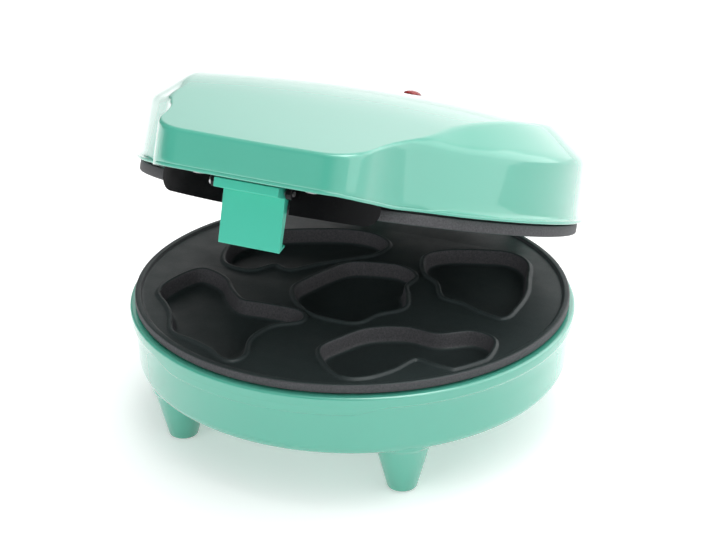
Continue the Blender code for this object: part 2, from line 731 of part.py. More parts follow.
def make_screw(name, tip, seat, x, y, parent, hold):
    """Slotted screw with its tip and the underside of its head at the given heights."""
    away = 1 if seat > tip else -1
    crown = seat + away * SCREW_HEAD_HEIGHT
    slot_floor = crown - away * SCREW_SLOT_DEPTH
    body = turned(name, [
        (0, crown), (SCREW_HEAD_RADIUS - SCREW_SLOT_DEPTH, crown), (SCREW_HEAD_RADIUS, slot_floor),
        (SCREW_HEAD_RADIUS, seat), (SCREW_RADIUS, seat), (SCREW_RADIUS, tip + away * SCREW_RADIUS / 2),
        (SCREW_RADIUS / 2, tip), (0, tip)], SMALL_STEPS)
    place = Matrix.Translation((x, y, 0))
    low, high = sorted((slot_floor, crown + away * CUT_OVERRUN))
    slot = box(
        name + "_slot", (-CUT_OVERRUN, -SCREW_SLOT_WIDTH / 2, low),
        (CUT_OVERRUN, SCREW_SLOT_WIDTH / 2, high))
    cut(link(moved(body, place), STEEL_LOOK, parent, hold), moved(slot, place))


def make_lead(name, stations, parent, hold):
    tube(name, smooth_path(stations, LEAD_STEPS), LEAD_RADIUS, SLEEVE_LOOK, parent, hold)


# Base

def housing_profile():
    mouth = SKIRT_RADIUS + LOOSE_GAP
    inner = WALL_FOOT_RADIUS - WALL
    rim_foot = RIM_Z - RIM_HEIGHT
    corner = (WALL_FOOT_RADIUS - FLOOR_ROUND, FLOOR_Z + FLOOR_ROUND)
    outer_corner = arc(corner, FLOOR_ROUND, 0, -RIGHT_ANGLE, FLOOR_ROUND_STEPS)
    return [
        (0, FLOOR_Z + WALL), (inner - FLOOR_ROUND + WALL, FLOOR_Z + WALL), (inner, FLOOR_Z + FLOOR_ROUND),
        (mouth, rim_foot), (mouth, RIM_Z - RIM_ROUND), (mouth + RIM_ROUND, RIM_Z),
        (RIM_RADIUS - RIM_ROUND, RIM_Z), (RIM_RADIUS, RIM_Z - RIM_ROUND), (RIM_RADIUS, rim_foot),
        (WALL_TOP_RADIUS, rim_foot - RIM_ROUND), *outer_corner, (0, FLOOR_Z)]


def corner_place(x, y):
    angle = math.radians(LEG_ANGLE)
    return x * LEG_CIRCLE * math.sin(angle), y * LEG_CIRCLE * math.cos(angle)


def leg(name, x, y):
    """Tapered leg with a rounded foot."""
    body = turned(name, [
        (0, FLOOR_Z + WALL / 2), (LEG_TOP_RADIUS, FLOOR_Z + WALL / 2),
        (LEG_FOOT_RADIUS, PAD_STAND + LEG_ROUND), (LEG_FOOT_RADIUS - LEG_ROUND / 2, PAD_STAND),
        (0, PAD_STAND)], LEG_STEPS)
    return moved(body, Matrix.Translation((*corner_place(x, y), 0)))


def catch_lip(name):
    """Deeper stretch of the rim at the front, which the latch's hook holds."""
    sections = []
    for index in range(CATCH_STEPS + 1):
        azimuth = CATCH_END * (2 * index / CATCH_STEPS - 1)
        fade = ease(abs(azimuth), CATCH_START, CATCH_END)
        foot = RIM_Z - CATCH_DROP + CATCH_LIFT * fade
        corner = RIM_ROUND * (1 - fade)
        section = [
            (CATCH_INNER_RADIUS, RIM_Z - CATCH_TOP), (CATCH_RADIUS, RIM_Z - CATCH_TOP),
            (CATCH_RADIUS, foot + corner), (CATCH_RADIUS - RIM_ROUND, foot), (CATCH_INNER_RADIUS, foot)]
        sections.append([polar(math.radians(azimuth), radius, height) for radius, height in section])
    return loft(name, sections)


def polar(angle, radius, height):
    """Point at an angle from the front, turning towards the right."""
    return radius * math.sin(angle), -radius * math.cos(angle), height


def hinge_arm(name, low, high, outline, eye, eye_z):
    """Arm between two x planes, rooted in a round wall. The outline's None stands for the root's y."""
    rings = []
    for x in (low, high):
        root = math.sqrt(HINGE_ROOT_RADIUS ** 2 - x ** 2)
        rings.append([(x, root if y is None else y, z) for y, z in outline + eye])
    return loft(name, rings)


def make_housing():
    housing = link(turned("base_housing", housing_profile()), MINT_LOOK, frame, BASE_HOLD)
    bores = []
    for side, x, y in CORNER_SPOTS:
        join(housing, leg("base_leg_" + side, x, y))
        place = corner_place(x, y)
        socket = PAD_HEIGHT + SEAT_GAP
        bores.append(cylinder("base_socket_" + side, PAD_RADIUS + SEAT_GAP, -CUT_OVERRUN, socket, *place))
        pad = cylinder("foot_pad_" + side, PAD_RADIUS, 0, PAD_HEIGHT, *place)
        link(pad, PAD_LOOK, frame, BASE_HOLD)
    top = LOWER_PAN_BACK - SEAT_GAP
    seat = FLOOR_Z + SCREW_HEAD_HEIGHT + LOOSE_GAP
    for side, x, y in SCREW_SPOTS:
        spot = (x * SCREW_CIRCLE, y * SCREW_CIRCLE)
        join(housing, cylinder("base_post_" + side, HOUSING_POST_RADIUS, FLOOR_Z + WALL / 2, top, *spot))
        head_room = SCREW_HEAD_RADIUS + LOOSE_GAP
        bores.append(cylinder("base_head_room_" + side, head_room, FLOOR_Z - CUT_OVERRUN, seat, *spot))
        through = SCREW_RADIUS + SEAT_GAP
        bores.append(cylinder("base_bore_" + side, through, FLOOR_Z, top + CUT_OVERRUN, *spot))
        tip = PLATE_Z - BOSS_DEPTH + SCREW_ENGAGE
        make_screw("lower_plate_screw_" + side, tip, seat - SEAT_GAP, *spot, frame, BASE_HOLD)
    outline = [
        (HINGE_LUG_SHOULDER_Y, RIM_Z - HINGE_LUG_SHOULDER_DROP + SHADOW_GAP),
        (None, RIM_Z - HINGE_LUG_SHOULDER_DROP), (None, HINGE_Z - HINGE_LUG_DROP)]
    eye = arc((HINGE_Y, HINGE_Z), HINGE_KNUCKLE_RADIUS, -RIGHT_ANGLE / 2, RIGHT_ANGLE * 2, HINGE_STEPS)
    half = HINGE_LUG_WIDTH / 2
    for side, x in (("left", -HINGE_X), ("right", HINGE_X)):
        join(housing, hinge_arm("base_lug_" + side, x - half, x + half, outline, eye, HINGE_Z))
    join(housing, catch_lip("base_catch_lip"))
    reach = HINGE_X * 2
    eye_bore = cylinder("base_hinge_bore", HINGE_PIN_RADIUS + SEAT_GAP, -reach, reach)
    bores.append(moved(eye_bore, along_x(HINGE_Y, HINGE_Z)))
    inlet = cylinder("base_inlet_bore", INLET_RADIUS + SEAT_GAP, SKIRT_RADIUS - INLET_SPIGOT, HINGE_Y)
    bores.append(moved(inlet, along_y(0, FLOOR_Z + INLET_RISE)))
    for index in range(VENT_COUNT):
        x = (index - (VENT_COUNT - 1) / 2) * VENT_PITCH
        low = (x - VENT_WIDTH / 2, -VENT_LENGTH / 2, FLOOR_Z - CUT_OVERRUN)
        high = (x + VENT_WIDTH / 2, VENT_LENGTH / 2, FLOOR_Z + CUT_OVERRUN)
        bores.append(box("base_vent_" + str(index + 1), low, high))
    for bore in bores:
        cut(housing, bore)


def make_terminal():
    """Two-way terminal block on the housing's floor, with its two leads from the element."""
    low = FLOOR_Z + WALL + SEAT_GAP
    top = low + TERMINAL_HEIGHT
    middle = TERMINAL_Y - TERMINAL_WIDTH / 2
    block = link(box(
        "terminal_block", (-TERMINAL_LENGTH / 2, TERMINAL_Y - TERMINAL_WIDTH, low),
        (TERMINAL_LENGTH / 2, TERMINAL_Y, top)), CERAMIC_LOOK, frame, BASE_HOLD)
    element = PLATE_Z - ELEMENT_DEPTH
    run = (top + LOWER_PAN_BACK) / 2
    for side, sign in (("left", -1), ("right", 1)):
        well = cylinder("terminal_well_" + side, TERMINAL_WELL, top - TERMINAL_HEIGHT / 2, top + CUT_OVERRUN)
        cut(block, moved(well, Matrix.Translation((sign * TERMINAL_WELL_X, middle, 0))))
        x = sign * ELEMENT_TAIL_X
        end = sign * TERMINAL_WELL_X
        make_lead("base_lead_" + side, [
            (x, ELEMENT_TAIL_END + SEAT_GAP, element), (x, LEAD_TURN_Y, element - LEAD_RADIUS / 2),
            (x, LEAD_OUT_Y, LOWER_PAN_BACK), (x, LEAD_TURN_Y, run), (end, TERMINAL_Y + TERMINAL_WELL, run),
            (end, middle + LEAD_RADIUS, run), (end, middle, top), (end, middle, top - TERMINAL_HEIGHT / 3)],
            frame, BASE_HOLD)


def make_inlet():
    """Bushing that lines the cord hole in the rear wall."""
    outer = WALL_TOP_RADIUS + INLET_FLANGE
    inner = WALL_FOOT_RADIUS - WALL - INLET_SPIGOT
    bushing = turned("cord_inlet_bushing", [
        (INLET_BORE, inner), (INLET_BORE, outer), (INLET_FLANGE_RADIUS - INLET_FLANGE / 2, outer),
        (INLET_FLANGE_RADIUS, WALL_TOP_RADIUS + INLET_FLANGE / 2), (INLET_FLANGE_RADIUS, WALL_TOP_RADIUS),
        (INLET_RADIUS, WALL_TOP_RADIUS), (INLET_RADIUS, inner), (INLET_BORE, inner)], LEG_STEPS)
    link(moved(bushing, along_y(0, FLOOR_Z + INLET_RISE)), LINER_LOOK, frame, BASE_HOLD)


def make_hinge_pins():
    """A headed pin through each housing lug and the lid arm beside it."""
    start = HINGE_X - HINGE_LUG_WIDTH / 2 - SEAT_GAP
    end = HINGE_X + HINGE_LUG_WIDTH * 1.5 + LOOSE_GAP
    for side, sign in (("left", -1), ("right", 1)):
        pin = turned("hinge_pin_" + side, [
            (0, start - HINGE_PIN_HEAD), (HINGE_PIN_HEAD_RADIUS, start - HINGE_PIN_HEAD),
            (HINGE_PIN_HEAD_RADIUS, start), (HINGE_PIN_RADIUS, start), (HINGE_PIN_RADIUS, end), (0, end)],
            SMALL_STEPS)
        flip = Matrix.Diagonal((1, 1, sign, 1))
        pin.data.transform(along_x(HINGE_Y, HINGE_Z) @ flip)
        if sign < 0:
            pin.data.flip_normals()
        link(pin, STEEL_LOOK, frame, BASE_HOLD)


# Lid

def handle_share(angle):
    """Share of the plain round lid at an angle from the front: 0 in the handle, 1 beside it."""
    return ease(math.degrees(abs(angle)), FLARE_START, FLARE_END)


def outline_radius(angle, inset):
    """Lid outline in plan: the round lid blended into the handle's rounded front."""
    side, front = abs(math.sin(angle)), math.cos(angle)
    round_part = LID_RADIUS - inset
    if front <= 0:
        return round_part
    half, reach, corner = HANDLE_HALF_WIDTH - inset, HANDLE_REACH - inset, HANDLE_CORNER - inset
    if side * reach <= (half - corner) * front:
        handle = reach / front
    elif half * front <= (reach - corner) * side:
        handle = half / side
    else:
        along = (half - corner) * side + (reach - corner) * front
        aside = (half - corner) ** 2 + (reach - corner) ** 2 - along ** 2
        handle = along + math.sqrt(corner ** 2 - aside)
    return smooth_max(round_part, handle, HANDLE_BLEND)


def crown(x, y):
    """Height of the lid's upper face, which falls towards the handle."""
    ramp = RAMP_TOP + RAMP_SLOPE * (y + RAMP_FOOT)
    dome = CROWN_TOP - CROWN_DROP * (x ** 2 + y ** 2) / CROWN_RADIUS ** 2
    return smooth_min(ramp, dome, CROWN_BLEND)


def crown_at(angle, radius):
    x, y, _ = polar(angle, radius, 0)
    return crown(x, y)


def rim_radius(angle):
    return outline_radius(angle, LID_DRAFT * handle_share(angle))


def skirt_top(angle):
    rise = HANDLE_RISE * (1 - ease(math.degrees(abs(angle)), RISE_START, RISE_END))
    return min(crown_at(angle, rim_radius(angle)), LID_SKIRT_TOP + rise)


def facet(angle, radius):
    return skirt_top(angle) + FACET_SLOPE * (rim_radius(angle) - radius)


def roof_at(angle, radius):
    """Height of the lid's outer surface over a point inside its outline."""
    return smooth_min(crown_at(angle, radius), facet(angle, radius) + FACET_BLEND / 4, FACET_BLEND)


def crease_radius(angle):
    """Radius where the sloped facet meets the upper face."""
    low, high = CROWN_RADIUS / 2, rim_radius(angle)
    for _ in range(CREASE_TRIES):
        middle = (low + high) / 2
        if facet(angle, middle) > crown_at(angle, middle):
            low = middle
        else:
            high = middle
    return min(low, rim_radius(angle) - SHELL_ROUND * 1.5 - CREASE_WIDTH / 2)


def lid_foot(angle):
    return HANDLE_BOTTOM + (LID_BOTTOM - HANDLE_BOTTOM) * handle_share(angle)


def lid_ring(radius_at, height_at):
    """Ring of points round the lid, closer together across the handle."""
    angles = [HANDLE_SECTOR * (2 * index / HANDLE_STEPS - 1) for index in range(HANDLE_STEPS)]
    rest = FULL_TURN - 2 * HANDLE_SECTOR
    angles += [HANDLE_SECTOR + rest * index / REAR_STEPS for index in range(REAR_STEPS)]
    ring = []
    for degrees in angles:
        angle = math.radians(degrees if degrees <= FULL_TURN / 2 else degrees - FULL_TURN)
        radius = radius_at(angle)
        ring.append(polar(angle, radius, height_at(angle, radius)))
    return ring


def under_roof(angle, radius):
    return roof_at(angle, radius) - ROOF_DROP


def lid_rings():
    inner = [[(0, 0, crown(0, 0) - ROOF_DROP)]]
    outer = [[(0, 0, crown(0, 0))]]
    for share in reversed(DOME_SHARES):
        inner.append(lid_ring(lambda angle, s=share: crease_radius(angle) * s, under_roof))
        outer.append(lid_ring(lambda angle, s=share: crease_radius(angle) * s, roof_at))
    inner += [
        lid_ring(lambda angle: crease_radius(angle) - CREASE_WIDTH / 2, under_roof),
        lid_ring(lambda angle: outline_radius(angle, WALL + LID_DRAFT * handle_share(angle)), under_roof),
        lid_ring(lambda angle: outline_radius(angle, WALL), lambda angle, _: lid_foot(angle))]
    outer += [
        lid_ring(lambda angle: crease_radius(angle) - CREASE_WIDTH / 2, roof_at),
        lid_ring(lambda angle: crease_radius(angle) + CREASE_WIDTH / 2, roof_at),
        lid_ring(lambda angle: rim_radius(angle) - SHELL_ROUND, roof_at),
        lid_ring(
            lambda angle: rim_radius(angle) - SHELL_ROUND * 0.3,
            lambda angle, radius: roof_at(angle, radius) - SHELL_ROUND * 0.35),
        lid_ring(rim_radius, lambda angle, _: skirt_top(angle) - SHELL_ROUND),
        lid_ring(
            lambda angle: outline_radius(angle, 0),
            lambda angle, _: lid_foot(angle) + LID_FLANGE_HEIGHT + LID_FLANGE_SHOULDER),
        lid_ring(flange_radius, lambda angle, _: lid_foot(angle) + LID_FLANGE_HEIGHT),
        lid_ring(flange_radius, lambda angle, _: lid_foot(angle) + LID_EDGE_ROUND),
        lid_ring(lambda angle: flange_radius(angle) - LID_EDGE_ROUND, lambda angle, _: lid_foot(angle))]
    return inner + outer[::-1]


def flange_radius(angle):
    return outline_radius(angle, 0) + LID_FLANGE * handle_share(angle)


def make_shell():
    shell = link(loft("lid_shell", lid_rings()), MINT_LOOK, lid_pivot, LID_HOLD)
    start, end = -RIGHT_ANGLE * 1.7, RIGHT_ANGLE * 0.7
    eye = arc((HINGE_Y, HINGE_RISE), HINGE_KNUCKLE_RADIUS, start, end, HINGE_STEPS)
    outline = [(None, HINGE_ARM_TOP), (None, HINGE_ARM_FOOT)]
    near = HINGE_X + HINGE_LUG_WIDTH / 2 + LOOSE_GAP
    far = near + HINGE_LUG_WIDTH
    for side, low, high in (("left", -far, -near), ("right", near, far)):
        join(shell, hinge_arm("lid_arm_" + side, low, high, outline, eye, HINGE_RISE))
    reach = HINGE_X * 2
    bore = cylinder("lid_hinge_bore", HINGE_PIN_RADIUS + SEAT_GAP, -reach, reach)
    foot = LINER_FLOOR_STAND + LINER_FLOOR + SEAT_GAP
    for side, x in (("left", -LINER_SCREW_X), ("right", LINER_SCREW_X)):
        spot = (x, -LINER_SCREW_Y)
        top = crown(*spot) - ROOF_DROP / 2
        join(shell, cylinder("lid_post_" + side, LINER_POST_RADIUS, foot, top, *spot))
        depth = foot + SCREW_ENGAGE + SEAT_GAP
        through = SCREW_RADIUS + SEAT_GAP
        cut(shell, cylinder("lid_post_bore_" + side, through, foot - CUT_OVERRUN, depth, *spot))
        seat = LINER_FLOOR_STAND - SEAT_GAP
        make_screw("liner_screw_" + side, foot + SCREW_ENGAGE, seat, *spot, lid_pivot, LID_HOLD)
    cut(shell, moved(bore, along_x(HINGE_Y, HINGE_RISE)))
    roof = crown(0, LAMP_Y)
    opening = LENS_NECK_RADIUS + SEAT_GAP
    cut(shell, cylinder("lid_lamp_hole", opening, roof - ROOF_DROP * 2, roof + CUT_OVERRUN, 0, LAMP_Y))


def apron_half(name, sign):
    """Half of the apron that hangs from the liner's floor beside the latch."""
    gap = math.asin((LATCH_LEDGE_HALF_WIDTH + LOOSE_GAP) / APRON_RADIUS)
    end = math.asin(APRON_HALF_WIDTH / APRON_RADIUS)
    top = LINER_FLOOR_STAND + LINER_FLOOR / 2
    sections = []
    for index in range(APRON_STEPS // 2 + 1):
        angle = gap + (end - gap) * math.sqrt(index / (APRON_STEPS // 2))
        past = max(APRON_RADIUS * math.sin(angle) - APRON_HALF_WIDTH + APRON_CORNER, 0)
        past = min(past, APRON_CORNER * 0.999)
        foot = APRON_CORNER - math.sqrt(APRON_CORNER ** 2 - past ** 2) - APRON_DROP
        inner = APRON_RADIUS - APRON_WALL
        neck = min(APRON_RADIUS - EDGE_ROUND, outline_radius(angle, WALL + LOOSE_GAP))
        shoulder = HANDLE_BOTTOM - SEAT_GAP
        section = [
            (inner, foot), (APRON_RADIUS, foot), (APRON_RADIUS, shoulder), (neck, shoulder), (neck, top),
            (inner, top)]
        sections.append([polar(sign * angle, radius, height) for radius, height in section])
    return loft(name, sections)


def floor_outline():
    """Plan of the floor under the handle, with a bay for the latch's ledge."""
    inset = WALL + LOOSE_GAP
    bay = LATCH_LEDGE_HALF_WIDTH + LOOSE_GAP
    bay_edge = math.atan2(bay, HANDLE_REACH - inset)
    sector = math.radians(LINER_SECTOR)
    half = LINER_STEPS // 2
    right = []
    for index in range(half + 1):
        angle = bay_edge + (sector - bay_edge) * index / half
        right.append(polar(angle, outline_radius(angle, inset), 0)[:2])
    inner_radius = LINER_RADIUS - LINER_WALL / 2
    inner = []
    for index in range(LINER_STEPS + 1):
        inner.append(polar(sector * (1 - 2 * index / LINER_STEPS), inner_radius, 0)[:2])
    left = [(-x, y) for x, y in reversed(right)]
    back = LATCH_PIVOT_Y - LATCH_EYE_RADIUS - LATCH_SWING_GAP
    return [(bay, -back)] + right + inner + left + [(-bay, -back)]


def lug_outline(x, y):
    """Stadium end of a lug on the collar, pointing inwards at a plate screw."""
    points = [(LINER_LUG_HALF_WIDTH, -LINER_RADIUS + LINER_WALL / 2)]
    points += arc((0, -SCREW_CIRCLE), LINER_LUG_HALF_WIDTH, 0, FULL_TURN / 2, 8)
    points += [(-LINER_LUG_HALF_WIDTH, -LINER_RADIUS + LINER_WALL / 2)]
    return [(-y * a - x * b, x * a - y * b) for a, b in points]


def make_liner():
    collar_foot = UPPER_FACE + CUP_DEPTH + SEAT_GAP
    lug_foot = UPPER_PAN_BACK + SEAT_GAP
    lug_top = lug_foot + LINER_LUG
    inner = LINER_RADIUS - LINER_WALL
    collar = turned("lid_liner", [
        (inner, collar_foot), (LINER_RADIUS, collar_foot), (LINER_RADIUS, lug_top), (inner, lug_top),
        (inner, collar_foot)])
    liner = link(collar, LINER_LOOK, lid_pivot, LID_HOLD)
    floor_top = LINER_FLOOR_STAND + LINER_FLOOR
    join(liner, flat_piece("liner_floor", floor_outline(), LINER_FLOOR_STAND, floor_top))
    join(liner, apron_half("liner_apron_left", -1))
    join(liner, apron_half("liner_apron_right", 1))
    bores = []
    for side, x, y in SCREW_SPOTS:
        spot = (x * SCREW_CIRCLE, y * SCREW_CIRCLE)
        sunk = lug_top - EDGE_ROUND / 2
        join(liner, flat_piece("liner_lug_" + side, lug_outline(x, y), lug_foot, sunk))
        bore = SCREW_RADIUS + SEAT_GAP
        ends = lug_foot - CUT_OVERRUN, lug_top + CUT_OVERRUN
        bores.append(cylinder("liner_bore_" + side, bore, *ends, *spot))
        tip = UPPER_FACE + BOSS_DEPTH - SCREW_ENGAGE
        make_screw("upper_plate_screw_" + side, tip, lug_top, *spot, lid_pivot, LID_HOLD)
    ear = arc((-LATCH_PIVOT_Y, LATCH_PIVOT_Z), LATCH_EAR_RADIUS, -FULL_TURN / 2, 0, 8)
    ear_top = LINER_FLOOR_STAND + LINER_FLOOR / 2
    ear += [(LATCH_EAR_RADIUS - LATCH_PIVOT_Y, ear_top), (-LATCH_EAR_RADIUS - LATCH_PIVOT_Y, ear_top)]
    near = LATCH_LEDGE_HALF_WIDTH + LOOSE_GAP + SEAT_GAP
    for side, low, high in (("left", -near - LATCH_EAR, -near), ("right", near, near + LATCH_EAR)):
        join(liner, flat_piece("liner_ear_" + side, ear, low, high, "YZ"))
    pin_bore = cylinder("liner_pin_bore", LATCH_PIN_RADIUS + SEAT_GAP, -HINGE_X, HINGE_X)
    bores.append(moved(pin_bore, along_x(-LATCH_PIVOT_Y, LATCH_PIVOT_Z)))
    for side, x in (("left", -LINER_SCREW_X), ("right", LINER_SCREW_X)):
        bore = SCREW_RADIUS + SEAT_GAP
        ends = LINER_FLOOR_STAND - CUT_OVERRUN, floor_top + CUT_OVERRUN
        bores.append(cylinder("liner_hole_" + side, bore, *ends, x, -LINER_SCREW_Y))
    for bore in bores:
        cut(liner, bore)


def make_latch():
    """Ledge for the fingers with a plate that hangs from it and ends in a hook."""
    eye = arc((-LATCH_PIVOT_Y, LATCH_PIVOT_Z), LATCH_EYE_RADIUS, -RIGHT_ANGLE, RIGHT_ANGLE, 8)
    ledge = [(-LATCH_LEDGE_Y, LATCH_LEDGE_TOP), (-LATCH_LEDGE_Y, LATCH_LEDGE_FOOT)] + eye
    half = LATCH_LEDGE_HALF_WIDTH
    latch = link(flat_piece("latch", ledge, -half, half, "YZ"), LATCH_LOOK, latch_pivot, LATCH_HOLD)
    section = [
        (-LATCH_FACE_Y, LATCH_TOP), (-LATCH_FACE_FOOT_Y, LATCH_ROUND - LATCH_FOOT),
        (LATCH_ROUND - LATCH_FACE_FOOT_Y, -LATCH_FOOT), (-LATCH_HOOK_Y, -LATCH_HOOK_TIP - LATCH_HOOK_THICK),
        (-LATCH_HOOK_Y, -LATCH_HOOK_TIP), (-LATCH_BACK_Y, -LATCH_HOOK_ROOT), (-LATCH_BACK_Y, LATCH_TOP)]
    join(latch, flat_piece("latch_plate", section, -LATCH_HALF_WIDTH, LATCH_HALF_WIDTH, "YZ"))
    bore = cylinder("latch_bore", LATCH_PIN_RADIUS + SEAT_GAP, -HINGE_X, HINGE_X)
    cut(latch, moved(bore, along_x(-LATCH_PIVOT_Y, LATCH_PIVOT_Z)))
    end = half + LOOSE_GAP + SEAT_GAP + LATCH_EAR + SEAT_GAP
    head = end + LATCH_PIN_HEAD
    pin = turned("latch_pin", [
        (0, -head), (LATCH_PIN_HEAD_RADIUS, -head), (LATCH_PIN_HEAD_RADIUS, -end),
        (LATCH_PIN_RADIUS, -end), (LATCH_PIN_RADIUS, end), (0, end)], SMALL_STEPS)
    link(moved(pin, along_x(-LATCH_PIVOT_Y, LATCH_PIVOT_Z)), STEEL_LOOK, lid_pivot, LID_HOLD)


def make_lamp():
    """Red lens on the roof with its holder and small bulb below."""
    roof = crown(0, LAMP_Y)
    seat = roof + LENS_SEAT
    place = Matrix.Translation((0, LAMP_Y, 0))
    dome = []
    for index in range(LENS_STEPS + 1):
        turn = math.radians(RIGHT_ANGLE * index / LENS_STEPS)
        dome.append((LENS_RADIUS * math.sin(turn), seat + LENS_DOME * math.cos(turn)))
    lens = turned("lamp_lens", dome + [
        (LENS_NECK_RADIUS, seat), (LENS_NECK_RADIUS, seat - LENS_NECK), (0, seat - LENS_NECK)], LEG_STEPS)
    link(moved(lens, place), LENS_LOOK, lid_pivot, LID_HOLD)
    top = roof - ROOF_DROP - LENS_SEAT
    foot = top - LAMP_HOLDER_HEIGHT
    bore = LENS_NECK_RADIUS + SEAT_GAP
    holder = turned("lamp_holder", [
        (0, foot), (LAMP_HOLDER_RADIUS, foot), (LAMP_HOLDER_RADIUS, top), (bore, top),
        (bore, foot + LAMP_HOLDER_WALL), (0, foot + LAMP_HOLDER_WALL)], LEG_STEPS)
    link(moved(holder, place), CERAMIC_LOOK, lid_pivot, LID_HOLD)
    low = foot + LAMP_HOLDER_WALL + SEAT_GAP
    high = seat - LENS_NECK - SEAT_GAP
    bulb = turned("lamp_bulb", [
        (0, low), (BULB_RADIUS, low), (BULB_RADIUS, high - BULB_RADIUS),
        (BULB_RADIUS * 0.8, high - BULB_RADIUS * 0.4), (BULB_RADIUS * 0.4, high - BULB_RADIUS * 0.08),
        (0, high)], SMALL_STEPS)
    link(moved(bulb, place), BULB_LOOK, lid_pivot, LID_HOLD)
    start = foot - SEAT_GAP
    cap = UPPER_PAN_BACK + SEAT_GAP + THERMOSTAT_HEIGHT
    make_lead("lamp_lead", [
        (0, LAMP_Y, start), (0, LAMP_Y - LEAD_RADIUS, start - LEAD_RUN),
        (THERMOSTAT_X / 4, LAMP_Y * 0.8, cap + LEAD_RUN),
        (THERMOSTAT_X * 0.7, LAMP_Y * 0.4, cap + LEAD_RUN / 2),
        (THERMOSTAT_X, THERMOSTAT_Y, cap + LEAD_RADIUS * 2)], lid_pivot, LID_HOLD)


def make_controls():
    """Thermostat and thermal fuse on the back of the upper reflector, with the element's leads."""
    low = UPPER_PAN_BACK + SEAT_GAP
    place = Matrix.Translation((THERMOSTAT_X, THERMOSTAT_Y, 0))
    cap = low + THERMOSTAT_HEIGHT
    disc = turned("thermostat", [
        (0, low), (THERMOSTAT_RADIUS, low), (THERMOSTAT_RADIUS, cap - THERMOSTAT_TAB_SHEET),
        (THERMOSTAT_RADIUS - THERMOSTAT_TAB_SHEET, cap), (0, cap)], LEG_STEPS)
    disc = link(moved(disc, place), STEEL_LOOK, lid_pivot, LID_HOLD)
    tab = box(
        "thermostat_tab", (-THERMOSTAT_TAB, -THERMOSTAT_TAB_WIDTH, low + THERMOSTAT_TAB_SHEET / 4),
        (THERMOSTAT_TAB, THERMOSTAT_TAB_WIDTH, low + THERMOSTAT_TAB_SHEET))
    join(disc, moved(tab, place))
    half = FUSE_HALF_LENGTH
    wire = half + FUSE_WIRE
    fuse = turned("thermal_fuse", [
        (0, -wire), (FUSE_WIRE_RADIUS, -wire), (FUSE_WIRE_RADIUS, -half), (FUSE_RADIUS, -half),
        (FUSE_RADIUS, half), (FUSE_WIRE_RADIUS, half), (FUSE_WIRE_RADIUS, wire), (0, wire)], SMALL_STEPS)
    fuse_z = low + FUSE_RADIUS
    link(moved(fuse, along_y(-FUSE_X, fuse_z)), STEEL_LOOK, lid_pivot, LID_HOLD)
    element = UPPER_FACE + ELEMENT_DEPTH
    run = UPPER_PAN_BACK + LEAD_RUN
    tail = ELEMENT_TAIL_END + SEAT_GAP
    x = ELEMENT_TAIL_X
    make_lead("lid_lead_left", [
        (-x, tail, element), (-x, LEAD_TURN_Y, element + LEAD_RADIUS / 2), (-x, LEAD_OUT_Y, UPPER_PAN_BACK),
        (-x, LEAD_TURN_Y, run), (-FUSE_X * 0.7, ELEMENT_CIRCLE, run), (-FUSE_X, ELEMENT_CIRCLE / 2, run),
        (-FUSE_X, wire + LOOSE_GAP, fuse_z)], lid_pivot, LID_HOLD)
    make_lead("lid_lead_right", [
        (x, tail, element), (x, LEAD_TURN_Y, element + LEAD_RADIUS / 2), (x, LEAD_OUT_Y, UPPER_PAN_BACK),
        (x, LEAD_TURN_Y, run), (THERMOSTAT_X * 0.8, ELEMENT_CIRCLE, run),
        (THERMOSTAT_X, ELEMENT_CIRCLE / 2, run),
        (THERMOSTAT_X, THERMOSTAT_Y + THERMOSTAT_RADIUS + LOOSE_GAP, run)], lid_pivot, LID_HOLD)


make_housing()
make_plate("lower_plate", frame, PLATE_HOLD, 0, -1, PLATE_EDGE)
make_element("lower_heating_element", frame, BASE_HOLD, PLATE_Z - ELEMENT_DEPTH)
make_reflector("lower_reflector", frame, PLATE_HOLD, 0, -1)
make_terminal()
make_inlet()
make_hinge_pins()
make_shell()
make_liner()
make_plate("upper_plate", lid_pivot, LID_HOLD, UPPER_FACE, 1, UPPER_EDGE)
make_element("upper_heating_element", lid_pivot, LID_HOLD, UPPER_FACE + ELEMENT_DEPTH)
make_reflector("upper_reflector", lid_pivot, LID_HOLD, UPPER_FACE, 1)
make_controls()
make_lamp()
make_latch()
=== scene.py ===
"""Looks for the mint-green cookie maker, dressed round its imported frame. Shapes are in millimetres."""
import json
import math

import bmesh
import bpy
from mathutils import Matrix, Vector


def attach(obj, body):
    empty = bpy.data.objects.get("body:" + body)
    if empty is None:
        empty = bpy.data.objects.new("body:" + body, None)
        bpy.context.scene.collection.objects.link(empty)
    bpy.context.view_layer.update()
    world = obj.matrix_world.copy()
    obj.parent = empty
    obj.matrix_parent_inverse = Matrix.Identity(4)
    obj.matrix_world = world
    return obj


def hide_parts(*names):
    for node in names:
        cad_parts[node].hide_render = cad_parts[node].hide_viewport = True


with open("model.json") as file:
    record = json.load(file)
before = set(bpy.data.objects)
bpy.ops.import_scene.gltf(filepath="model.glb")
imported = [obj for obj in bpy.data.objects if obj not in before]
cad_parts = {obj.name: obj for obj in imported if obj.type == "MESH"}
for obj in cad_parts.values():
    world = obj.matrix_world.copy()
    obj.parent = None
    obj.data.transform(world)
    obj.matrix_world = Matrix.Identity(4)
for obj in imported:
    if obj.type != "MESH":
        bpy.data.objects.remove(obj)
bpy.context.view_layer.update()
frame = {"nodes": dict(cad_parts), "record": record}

# Places of the bodies, as in the frame
SHIFT = -8.55
PLATE_Z = 57.5
HINGE_Y = 110.0
HINGE_RISE = 3.0
LID_OPEN = 20.0
HINGE_Z = PLATE_Z + HINGE_RISE
MERGE = 0.0004
MM = Matrix.Diagonal((0.001, 0.001, 0.001, 1))
BASE = Matrix.Translation((0, SHIFT * 0.001, 0)) @ MM
LOWER = BASE @ Matrix.Translation((0, 0, PLATE_Z))
